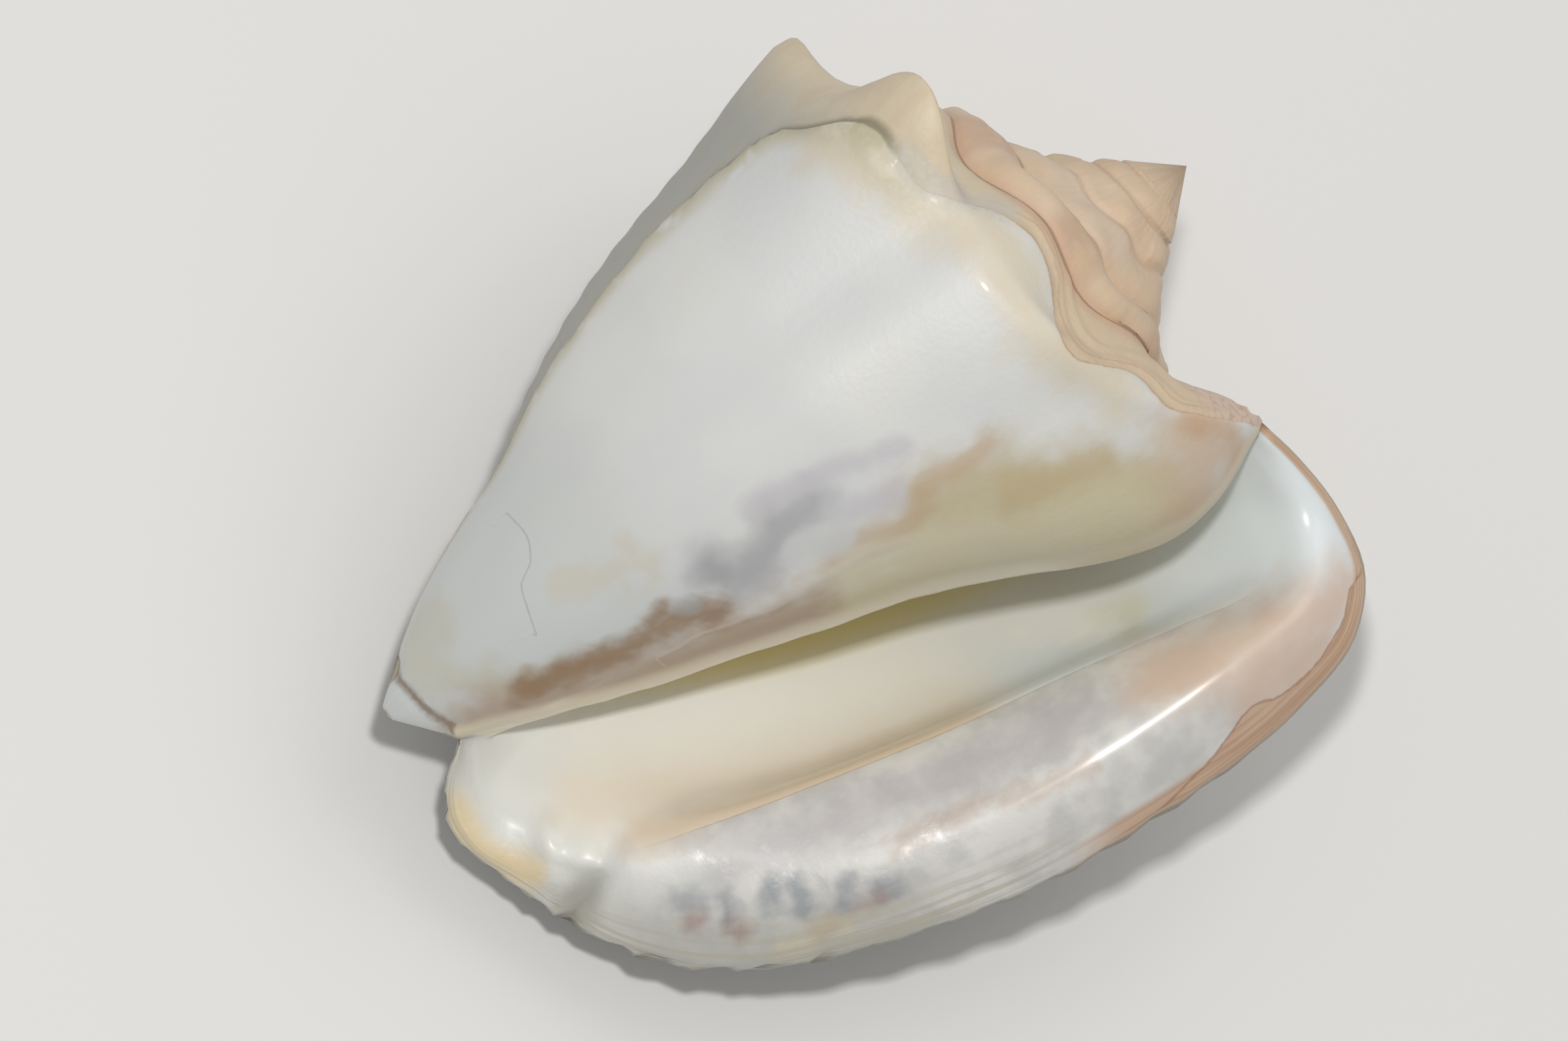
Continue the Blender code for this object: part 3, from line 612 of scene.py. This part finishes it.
def line_hollow(skin, rim, inner_edge):
    """Lines the aperture and the hollow behind it, from the rim and the inner lip inwards."""
    outer, wall = aperture_rows()
    mouth = evenly(MOUTH_STEPS)
    facing = evenly(BODY_STEPS)
    outer_row, wall_row = rim, inner_edge
    for depth in range(1, LUMEN_STEPS + 1):
        share = depth / LUMEN_STEPS
        next_outer = skin.add(outer[depth], 0, mouth, share, LIP)
        inside = skin.add(wall[depth][1:-1], 0, facing[1:-1], share, WALL)
        next_wall = [next_outer[0]] + inside + [next_outer[-1]]
        skin.join(next_outer, outer_row)
        skin.join(wall_row, next_wall)
        outer_row, wall_row = next_outer, next_wall
    end = skin.add([upright(*HOLLOW_END)], 0, 0.5, 1, LIP)[0]
    skin.fan(end, outer_row[::-1])
    skin.fan(end, wall_row)


def lay_down():
    """The rotation from the shell's frame to how it lies."""
    face_up = Matrix.Rotation(np.radians(-90), 3, "X")
    roll = Matrix.Rotation(np.radians(ROLL_AT_REST), 3, "Y")
    pitch = Matrix.Rotation(np.radians(PITCH_AT_REST), 3, "X")
    return np.array(pitch @ roll @ face_up)


def wander(places, size, seed):
    """Smooth noise from about -1 to 1 at places, with features of a size in millimetres."""
    scaled = places / size + seed * 17.3
    return np.array([noise.noise(Vector(place)) for place in scaled])


def beside_line(x, z, line):
    """Distance to a line of X and Z points, negative on its right, and positive past its ends."""
    nearest = np.full(len(x), 1e9)
    sign = np.ones(len(x))
    for place, ((ax, az), (bx, bz)) in enumerate(zip(line, line[1:])):
        along_x, along_z = bx - ax, bz - az
        share = ((x - ax) * along_x + (z - az) * along_z) / (along_x**2 + along_z**2)
        held = np.clip(share, 0, 1)
        away = np.hypot(x - ax - held * along_x, z - az - held * along_z)
        past_end = ((place == 0) & (share < 0)) | ((place == len(line) - 2) & (share > 1))
        right = (along_x * (z - az) < along_z * (x - ax)) & ~past_end
        sign = np.where(away < nearest, np.where(right, -1, 1), sign)
        nearest = np.minimum(nearest, away)
    return nearest * sign


def near_lines(x, z, lines):
    """Distance to the nearest of several lines."""
    return np.min([np.abs(beside_line(x, z, line)) for line in lines], axis=0)


def between(low, high, value):
    """0 at low, 1 at high, which may be the smaller one, and a smooth change between."""
    return ease((value - low) / (high - low))


class Surface:
    """Numbers at each corner of the fine skin, from which relief and colour are worked out."""

    def __init__(self, skin):
        self.place = np.array(skin.corners)
        self.x, self.y, self.z = self.place.T
        self.turn, self.across, self.depth, self.side, self.gap = np.array(skin.marks).T
        self.outside = self.side == OUTSIDE
        self.masks = {}

    def find_zones(self):
        rough = wander(self.place, 6, 1) * 0.5 + wander(self.place, 2.5, 2) * 0.25
        below = read(CALLUS_TOP, np.clip(self.x, -60, 60))[:, 0] + rough - self.z
        past = (self.turn - read(CALLUS_SIDE, np.clip(self.z, 0, 112))[:, 0]) * 0.8 + rough * 2
        under = np.where(self.turn <= 360, np.minimum(below, past), -50)
        self.callus_edge = np.where(self.outside, under, 9)
        self.callus = between(-0.6, 0.6, self.callus_edge) * self.outside
        netted = between(318, 338, self.turn) * between(380, 362, self.turn)
        self.masks.update(
            callus_edge=np.clip(self.callus_edge, -9, 9),
            lip=self.side == LIP,
            wall=self.side == WALL,
            depth=self.depth,
            mouth=self.across,
            spire=between(348, 372, self.turn) * self.outside,
            calm=between(500, 900, self.turn),
            layered=between(236, 250, self.turn) * self.outside,
            high=between(96, 112, self.z) * self.outside,
            low=between(58, 30, self.z),
            left=between(246, 230, self.turn),
            netted=netted * self.outside,
            knobs=0.5 + 0.5 * np.cos(2 * np.pi * (self.turn - KNOBS[-1][0]) / KNOB_PITCH),
            gap=np.where(self.outside, np.minimum(self.gap, 20), 20),
        )
        round_shell = np.where(self.outside, self.turn * 0.8, self.across * 200)
        over_whorl = np.where(self.outside, self.across * 20, self.depth * 60)
        self.grain = np.stack([round_shell, over_whorl, self.turn * 0], axis=-1)

    def find_markings(self):
        """Distances to the markings, along slightly stirred places, so that no edge is straight."""
        stirred_x = self.x + wander(self.place, 7, 11) + wander(self.place, 2.4, 12) * 0.6
        stirred_z = self.z + wander(self.place, 7, 13) + wander(self.place, 2.4, 14) * 0.6
        front = (self.y < 0) & self.outside
        lip = self.side == LIP
        for stains, where in ((STAINS, front), (LIP_STAINS, lip)):
            for name, (_, reach, *lines) in stains.items():
                away = near_lines(stirred_x, stirred_z, lines)
                self.masks[name] = np.where(where, np.minimum(away / reach, 4), 4)
        edge = np.array(INNER_LIP)
        edge = list(zip(edge[:, 0] + lean(edge[:, 1]), edge[:, 1]))
        self.masks["edge"] = np.where(front, near_lines(self.x, self.z, [edge]), 20)
        wave = wander(self.place, 5, 15) * 0.5
        for lines, where in ((LINES, front), (LIP_LINES, lip)):
            for name, line in lines.items():
                line = along(line, np.linspace(0, 1, 4 * len(line)))
                away = np.clip(beside_line(self.x + wave, self.z, line), -20, 20)
                self.masks[name] = np.where(where, away, 20)


def hill(value, reach):
    """1 where value is 0, falling smoothly to 0 at reach on both sides."""
    return between(reach, 0, np.abs(value))


def relief(surface):
    """How far each corner moves out along its normal, in millimetres."""
    place, turn, across, depth = surface.place, surface.turn, surface.across, surface.depth
    outside, callus, callus_edge = surface.outside, surface.callus, surface.callus_edge
    masks = surface.masks
    lip = masks["lip"]
    bare = outside * (1 - callus)
    first = bare * (turn <= 360)
    middle = between(0.24, 0.34, across) * between(0.95, 0.8, across)
    dorsal = between(190, 150, turn)
    cords = np.cos(across * 2 * np.pi * 24 + wander(place, 30, 3) * 0.8)
    moved = first * middle * 0.3 * cords * (0.1 + 0.9 * dorsal)
    rings = np.stack([turn * 1.1, across * 4, surface.z * 0.02], axis=-1)
    moved += bare * 0.12 * wander(rings, 3, 4)
    # Layers of the callus show as ridges between its border and the suture above the aperture.
    layered = between(-6.5, -4.5, callus_edge) * (1 - callus)
    layers = np.cos((callus_edge + wander(place, 6, 6) * 0.5) * 2 * np.pi / 2.2)
    moved += layered * 0.25 * layers * between(245, 265, turn) * outside
    spire = masks["spire"] * between(1800, 1500, turn)
    moved += spire * (0.5 * wander(place, 5, 16) - 0.45 * hill(surface.gap, 1.4))
    left = masks["left"]
    moved -= left * 0.7 * bare * hill(callus_edge + 1.4, 3)
    moved += callus * (0.35 + 0.25 * left + 0.07 * wander(place, 16, 5))
    moved += 0.25 * hill(masks["fold"], 1.2) - 0.08 * hill(masks["crack"], 0.8)
    moved -= 0.7 * hill(masks["groove"], 1.6)
    moved += 1.2 * hill(masks["ridge"], 2.6) - 1.4 * hill(masks["dip"], 3.2)
    rolled = lip * between(0.02, 0.06, depth) * between(0.15, 0.13, depth)
    uneven = 0.1 + 0.28 * between(0.5, 0.62, across)
    moved += rolled * (uneven * wander(place, 13, 7) + 0.05 * wander(place, 4, 8))
    moved -= 0.3 * hill(masks["seam"], 0.9) + 0.35 * hill(masks["flake"] - 0.6, 1.6)
    # The rim is chipped round its canal end, and rough with growth layers on its outer side.
    from_rim = np.where(outside, turn / 4, depth / 0.03)
    near_rim = between(1, 0, from_rim)
    chips = between(0.05, 0.25, wander(place, 3.2, 9))
    moved -= 1.1 * near_rim * between(0.55, 0.66, across) * chips
    growth = wander(surface.grain * (0.06, 3, 1), 1, 10)
    moved += 0.15 * lip * near_rim * between(0.3, 0.5, across) * growth
    return moved


def normals(points, faces):
    """Unit normals at the corners, from the faces around them."""
    total = np.zeros_like(points)
    for size in (3, 4):
        group = np.array([face for face in faces if len(face) == size])
        first = points[group[:, 2]] - points[group[:, 0]]
        second = points[group[:, -1]] - points[group[:, 1]]
        flat = np.cross(first, second)
        for corner in range(size):
            np.add.at(total, group[:, corner], flat)
    return unit(total)


def linear(red, green, blue):
    """A colour given as 0 to 255 on screen, as the shader takes it."""
    return tuple(((level / 255 + 0.055) / 1.055) ** 2.4 for level in (red, green, blue)) + (1,)


class Field:
    """A number or a colour that a material's nodes work out at each place."""

    def __init__(self, paint, socket):
        self.paint = paint
        self.socket = socket

    def __add__(self, other):
        return self.paint.math("ADD", self, other)

    def __sub__(self, other):
        return self.paint.math("SUBTRACT", self, other)

    def __rsub__(self, other):
        return self.paint.math("SUBTRACT", other, self)

    def __mul__(self, other):
        return self.paint.math("MULTIPLY", self, other)

    def most(self, other):
        """The greater of this and another."""
        return self.paint.math("MAXIMUM", self, other)

    def span(self, low, high):
        """0 where it is low, 1 where it is high, and a smooth change between."""
        fed = {"Value": self, "From Min": low, "From Max": high}
        return self.paint.field("MapRange", "Result", fed, interpolation_type="SMOOTHSTEP")


class Paint:
    """Builds one material's nodes."""

    def __init__(self, name):
        self.material = bpy.data.materials.new(name)
        self.material.use_nodes = True
        self.tree = self.material.node_tree
        self.shader = self.tree.nodes["Principled BSDF"]

    def feed(self, node, inputs):
        """Sets inputs to numbers or colours, or joins them to the nodes that work them out."""
        for name, value in inputs.items():
            if isinstance(value, Field):
                self.tree.links.new(value.socket, node.inputs[name])
            else:
                node.inputs[name].default_value = value

    def field(self, kind, output, inputs, **options):
        """What a new node puts out."""
        made = self.tree.nodes.new("ShaderNode" + kind)
        for name, value in options.items():
            setattr(made, name, value)
        self.feed(made, inputs)
        return Field(self, made.outputs[output])

    def math(self, operation, first, second):
        return self.field("Math", "Value", {0: first, 1: second}, operation=operation)

    def mix(self, share, under, over):
        """`over` laid on `under` where share is 1. Inputs 6 and 7 and output 2 are the colours."""
        fed = {0: share, 6: under, 7: over}
        return self.field("Mix", 2, fed, data_type="RGBA", clamp_factor=True)

    def noise(self, scale, detail, stretch=(1, 1, 1), source="place"):
        """Noise over the shell's own frame, about 0 to 1, with features `1 / scale` mm wide."""
        place = self.field("Attribute", "Vector", {}, attribute_name=source)
        place = self.field("Mapping", "Vector", {"Vector": place, "Scale": stretch})
        return self.field("TexNoise", "Fac", {"Vector": place, "Scale": scale, "Detail": detail})

    def cracks(self, scale):
        """1 on a net of fine cracks, `1 / scale` mm apart."""
        place = self.field("Attribute", "Vector", {}, attribute_name="place")
        fed = {"Vector": place, "Scale": scale}
        return self.field("TexVoronoi", "Distance", fed, feature="DISTANCE_TO_EDGE").span(0.09, 0.02)


class Coats:
    """A colour with others laid over it in turn, each where its share is 1."""

    def __init__(self, paint, colour):
        self.paint = paint
        self.colour = colour

    def cover(self, share, colour):
        self.colour = self.paint.mix(share, self.colour, colour)

    def lay(self, share, red, green, blue, strength=1):
        self.cover(share * strength, linear(red, green, blue))

    def stain(self, *names):
        """Lays stains on, in the order of their names here."""
        for name in names:
            (red, green, blue, strength, *edge), *_ = {**STAINS, **LIP_STAINS}[name]
            self.lay(self.paint.blot(name, *edge), red, green, blue, strength)


class ShellPaint(Paint):
    """The shell's material: its bare outside, its glaze, and the lip with its crust and channel."""

    def __init__(self):
        super().__init__("shell_glaze_and_crust")
        self.noises = {
            "cloudy": self.noise(0.05, 3),
            "mottled": self.noise(0.18, 5),
            "fine": self.noise(0.9, 5),
            "streaky": self.noise(0.3, 4, (1, 1, 0.3)),
            "lined": self.noise(0.5, 4, (1, 0.12, 1), "grain"),
            "ringed": self.noise(0.5, 4, (0.06, 5, 1), "grain"),
            "flamed": self.noise(0.32, 3, (1, 1, 0.7)),
        }
        callus = (self["callus_edge"] + self["fine"] * 0.6).span(0, 0.6)
        crust = self["depth"].span(0.04, 0.028) * self["mouth"].span(0.46, 0.4)
        crust = crust.most(self["seam"].span(0.2, -0.3))
        coat = Coats(self, self.bare())
        coat.cover(callus, self.glaze())
        coat.stain("chalk")
        # The wall's pale cream is partly its own colour and partly painted light: lighter and warmer,
        # for the glow in the shade inside the aperture.
        coat.lay(self["wall"], 240, 232, 202)
        coat.cover(self["lip"], self.lip(crust))
        self.feed(self.shader, {"Base Color": coat.colour})
        self.finish(callus, crust)

    def __getitem__(self, name):
        """One of the noises, or a number kept at the skin's corners."""
        return self.noises.get(name) or self.field("Attribute", "Fac", {}, attribute_name=name)

    def blot(self, name, ragged=0.8, soft=0.95, grain="mottled"):
        """1 inside a stain, with a soft edge that one of the noises makes uneven."""
        return (self[name] + (self[grain] - 0.5) * (ragged * 2)).span(1 + soft, 1 - soft)

    def line(self, name, half_width, offset=0):
        """1 on a thin line, broken up a little."""
        away = self.math("ABSOLUTE", self[name] - offset, 0)
        return (away + self["fine"] * half_width).span(half_width * 1.6, half_width * 0.5)

    def bare(self):
        """The bare outside: cool cream low down, warmer at the shoulder and on the spire."""
        spire, layered, left = self["spire"], self["layered"], self["left"]
        young = 1 - self["calm"] * 0.9
        coat = Coats(self, linear(190, 190, 182))
        coat.lay(self["high"], 208, 195, 170)
        coat.lay(self["mottled"].span(0.4, 0.7), 200, 184, 160, 0.5)
        coat.lay(spire, 206, 184, 160, 0.8)
        coat.lay(spire * self["cloudy"].span(0.48, 0.62), 220, 210, 200, 0.7)
        coat.lay(layered, 206, 182, 154, 0.55)
        coat.lay(spire * self["knobs"].span(0.55, 0.1) * young, 188, 154, 130, 0.65)
        coat.lay(spire * self["mottled"].span(0.5, 0.66) * young, 206, 184, 142, 0.6)
        coat.lay(spire * self["streaky"].span(0.54, 0.66), 212, 184, 158, 0.45)
        coat.lay(self["lined"].span(0.5, 0.75), 196, 176, 152, 0.25)
        coat.lay(self["gap"].span(3, 0.5) * young, 200, 166, 140, 0.6)
        coat.lay(self["gap"].span(0.5, 0.1) * young, 150, 114, 88, 0.75)
        coat.lay(self.line("callus_edge", 0.28, -1.9) * layered, 190, 156, 128, 0.5)
        coat.lay(self.line("callus_edge", 0.3, -0.2) * layered, 172, 136, 106, 0.6)
        # Painted shade: the bare left flank below the shoulder is laid darker and greyer, where it
        # turns away from the light.
        coat.lay(left * (1 - self["high"]), 152, 154, 149, 0.7)
        # Partly painted shadow in the valley below the callus step on the left, partly an olive stain
        # along its border.
        coat.lay(left * self["callus_edge"].span(-2.4, -0.6), 122, 118, 95, 0.8)
        coat.lay(self["netted"], 214, 190, 174, 0.8)
        coat.lay(self.cracks(0.36) * self["netted"], 176, 144, 124, 0.5)
        return coat.colour

    def glaze(self):
        """The glaze on the aperture side, with its stains and thin lines."""
        coat = Coats(self, linear(210, 212, 212))
        coat.lay(self["cloudy"].span(0.35, 0.65), 215, 216, 214)
        # Painted shade: the glaze is laid darker and cooler low down.
        coat.lay(self["low"], 194, 199, 198, 0.8)
        coat.stain("cream")
        border = self["callus_edge"].span(8, 0.5) * self["left"]
        coat.lay(border * self["mottled"].span(0.28, 0.5), 184, 177, 148, 0.85)
        coat.stain("olive", "khaki", "khaki_low", "khaki_dark", "lilac", "stripe", "mauve", "orange")
        coat.stain("brown", "blue", "cloud", "corner", "corner_brown", "patch")
        coat.lay(self.line("fold", 0.4), 200, 186, 172, 0.5)
        # Painted light: a lighter cream band along the inner lip's edge, for the bright rim that edge
        # shows.
        coat.lay(self["edge"].span(2.2, 0.6), 222, 211, 184, 0.8)
        coat.lay(self.line("crack", 0.2), 158, 162, 162, 0.6)
        coat.lay(self.line("groove", 0.9), 122, 100, 76, 0.8)
        return coat.colour

    def channel(self):
        """The channel behind the outer lip's crest."""
        mouth, depth = self["mouth"], self["depth"]
        coat = Coats(self, linear(230, 232, 228))
        coat.stain("cream_floor", "peach")
        coat.lay(mouth.span(0.47, 0.38), 220, 227, 230)
        coat.stain("green", "waves")
        coat.lay(mouth.span(0.8, 0.9), 216, 217, 212, 0.8)
        # Painted light: the deeper channel is laid lighter, to lift the shade that falls there.
        coat.lay(depth.span(0.2, 0.27), 240, 239, 234, 0.7)
        # Painted shade: a gold tint where the shadow below the inner lip falls on the channel, for the
        # warm light bounced inside it.
        coat.lay(depth.span(0.27, 0.295) * mouth.span(0.14, 0.26), 246, 232, 168, 0.9)
        return coat.colour

    def lip(self, crust):
        """The rolled glaze of the outer lip, the channel behind its crest, and the rim's crust."""
        mouth, depth = self["mouth"], self["depth"]
        coat = Coats(self, linear(197, 196, 194))
        coat.lay(self["mottled"].span(0.35, 0.65), 213, 212, 208)
        # Painted shade: the roll is laid darker near its rim on the lower lip, where it turns away.
        coat.lay(depth.span(0.1, 0.05) * mouth.span(0.5, 0.6), 168, 168, 162, 0.7)
        coat.stain("roll_lilac", "flames", "arcs", "spots", "yellow")
        coat.lay(mouth.span(0.74, 0.82), 208, 209, 203, 0.8)
        # The first of these is painted shade in the dip of the notch's fold; amber is a stain.
        coat.stain("painted_dip_shade", "amber")
        rough_rim = depth.span(0.075, 0.03) * mouth.span(0.4, 0.5)
        coat.lay(rough_rim * self["ringed"].span(0.46, 0.56), 176, 170, 150, 0.6)

        # The crest is sharp along the lip, opens out at the canal, and runs into the rim at its
        # other end.
        canal = mouth.span(0.64, 0.76)
        sharp = mouth.span(0.17, 0.24) * (1 - canal)
        share = depth.span(0.148, 0.152) * sharp + depth.span(0.05, 0.19) * canal
        coat.cover(share + depth.span(0.02, 0.05) * mouth.span(0.24, 0.17), self.channel())
        # Painted shade: a thin darker line along the sharp crest, where the roll turns down into the
        # channel.
        coat.lay(self.line("depth", 0.0011, 0.15) * sharp, 160, 142, 124, 0.5)
        coat.stain("pink")

        rough = Coats(self, linear(200, 172, 148))
        rough.lay(self["ringed"].span(0.4, 0.6), 184, 150, 124)
        coat.cover(crust, rough.colour)
        coat.lay(self.line("seam", 0.3), 160, 118, 92, 0.75)
        return coat.colour

    def finish(self, callus, crust):
        """The glaze shines, but less at its border, on the crust and where the roll is worn. It
        hides a fine grain that shows where the shell is bare."""
        worn = self["lip"] * self["mouth"].span(0.385, 0.42) * self["depth"].span(0.16, 0.13)
        satin = (worn * self["mottled"].span(0.3, 0.5)).most(crust)
        glazed = callus * (1 - self["callus_edge"].span(7, 2) * 0.8)
        shine = glazed.most(self["lip"].most(self["wall"])) * (1 - satin * 0.85)
        height = (self["fine"] + self["lined"] * 0.8) * (1 - shine * 0.94)
        grain = {"Height": height, "Distance": 0.0003, "Strength": 0.3}
        self.feed(self.shader, {
            "Roughness": 0.5 - shine * 0.18 + (self["mottled"] - 0.5) * 0.12,
            "Coat Roughness": self["lip"] * 0.15 + 0.1,
            "Coat Weight": shine * 0.5,
            "Subsurface Weight": 0.12,
            "Subsurface Radius": (1, 0.7, 0.45),
            "Subsurface Scale": 0.002,
            "Normal": self.field("Bump", "Normal", grain),
        })


def put(name, data):
    """A new object in the scene, with this mesh, camera or lamp."""
    made = bpy.data.objects.new(name, data)
    bpy.context.collection.objects.link(made)
    return made


def make_shell():
    skin = build_skin()
    surface = Surface(skin)
    surface.find_zones()
    surface.find_markings()
    points = surface.place + normals(surface.place, skin.faces) * relief(surface)[:, None]
    points[:, 2] = APEX_HEIGHT - np.hypot(APEX_HEIGHT - points[:, 2], APEX_WEAR)
    laid = points @ lay_down().T
    unworn = surface.place @ lay_down().T
    low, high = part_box(NODE_NAME)
    shift = (unworn.min(axis=0) + unworn.max(axis=0)) / 2
    shift[2] = laid[:, 2].min()
    offset = (np.array(low) + high) / 2
    offset[2] = low[2]
    laid = (laid - shift) * MILLIMETRE + offset
    mesh = bpy.data.meshes.new("shell_skin")
    mesh.from_pydata(laid.tolist(), [], skin.faces)
    mesh.shade_smooth()
    kept = [(name, "FLOAT", "value", values) for name, values in surface.masks.items()]
    for name in ("place", "grain"):
        kept.append((name, "FLOAT_VECTOR", "vector", getattr(surface, name)))
    for name, kind, part, values in kept:
        held = mesh.attributes.new(name, kind, "POINT")
        held.data.foreach_set(part, np.asarray(values, np.float32).ravel())
    mesh.materials.append(ShellPaint().material)
    piece = put("shell_skin", mesh)
    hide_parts(NODE_NAME)
    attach(piece, "root")
    return shift * MILLIMETRE - offset


def place_camera(shift):
    """The camera looks along the shell's -Y to +Y way, from a little below its middle."""
    down = np.radians(LOOK_DOWN)
    climb = np.radians(AXIS_CLIMB)
    back = np.array([0, -np.cos(down), -np.sin(down)])
    towards_apex = np.array([0, -np.sin(down), np.cos(down)])
    towards_lip = np.array([1, 0, 0])
    right = np.cos(climb) * towards_apex + np.sin(climb) * towards_lip
    up = np.sin(climb) * towards_apex - np.cos(climb) * towards_lip
    turned = lay_down() @ np.stack([right, up, back], axis=1)
    place = lay_down() @ (np.array(LOOK_AT) + back * CAMERA_DISTANCE) * MILLIMETRE - shift
    pose = Matrix([list(row) + [move] for row, move in zip(turned, place)] + [[0, 0, 0, 1]])
    camera = put("camera", bpy.data.cameras.new("camera"))
    camera.data.sensor_width = SENSOR_WIDTH
    camera.data.lens = PIXELS_PER_MM * CAMERA_DISTANCE / PICTURE_WIDTH * SENSOR_WIDTH
    camera.data.clip_end = 20
    camera.matrix_world = pose
    bpy.context.scene.camera = camera
    return pose


def add_light(name, place, aim, size, power, colour):
    data = bpy.data.lights.new(name, "AREA")
    data.size = size
    data.energy = power
    data.color = colour
    lamp = put(name, data)
    lamp.location = place
    lamp.rotation_euler = (Vector(aim) - Vector(place)).to_track_quat("-Z", "Y").to_euler()


def light_studio(pose):
    """Soft lamps placed about the camera: its right, its up and the way back to it."""
    right, up, back = (pose.to_3x3().col[index] for index in range(3))
    aim = Vector((0, 0, 0.04))
    add_light("key", aim + right * 0.04 + up * 0.15 + back * 0.94, aim, 0.06, 4.3, (1, 0.98, 0.95))
    add_light("side", aim + right * 0.55 + up * 0.6 + back * 0.5, aim, 0.7, 1.6, (1, 0.98, 0.96))
    world = bpy.data.worlds.new("studio")
    world.use_nodes = True
    background = world.node_tree.nodes["Background"].inputs
    background["Color"].default_value = (1, 0.99, 0.97, 1)
    background["Strength"].default_value = 0.44
    bpy.context.scene.world = world


def floor():
    mesh = bpy.data.meshes.new("floor")
    corners = [(x * FLOOR_REACH, y * FLOOR_REACH, 0) for x, y in ((-1, -1), (1, -1), (1, 1), (-1, 1))]
    mesh.from_pydata(corners, [], [(0, 1, 2, 3)])
    paint = Paint("floor_paper")
    paint.feed(paint.shader, {"Base Color": linear(226, 226, 226), "Roughness": 0.9})
    mesh.materials.append(paint.material)
    piece = put("floor", mesh)


bpy.context.scene.view_settings.view_transform = "Standard"
camera_pose = place_camera(make_shell())
light_studio(camera_pose)
floor()
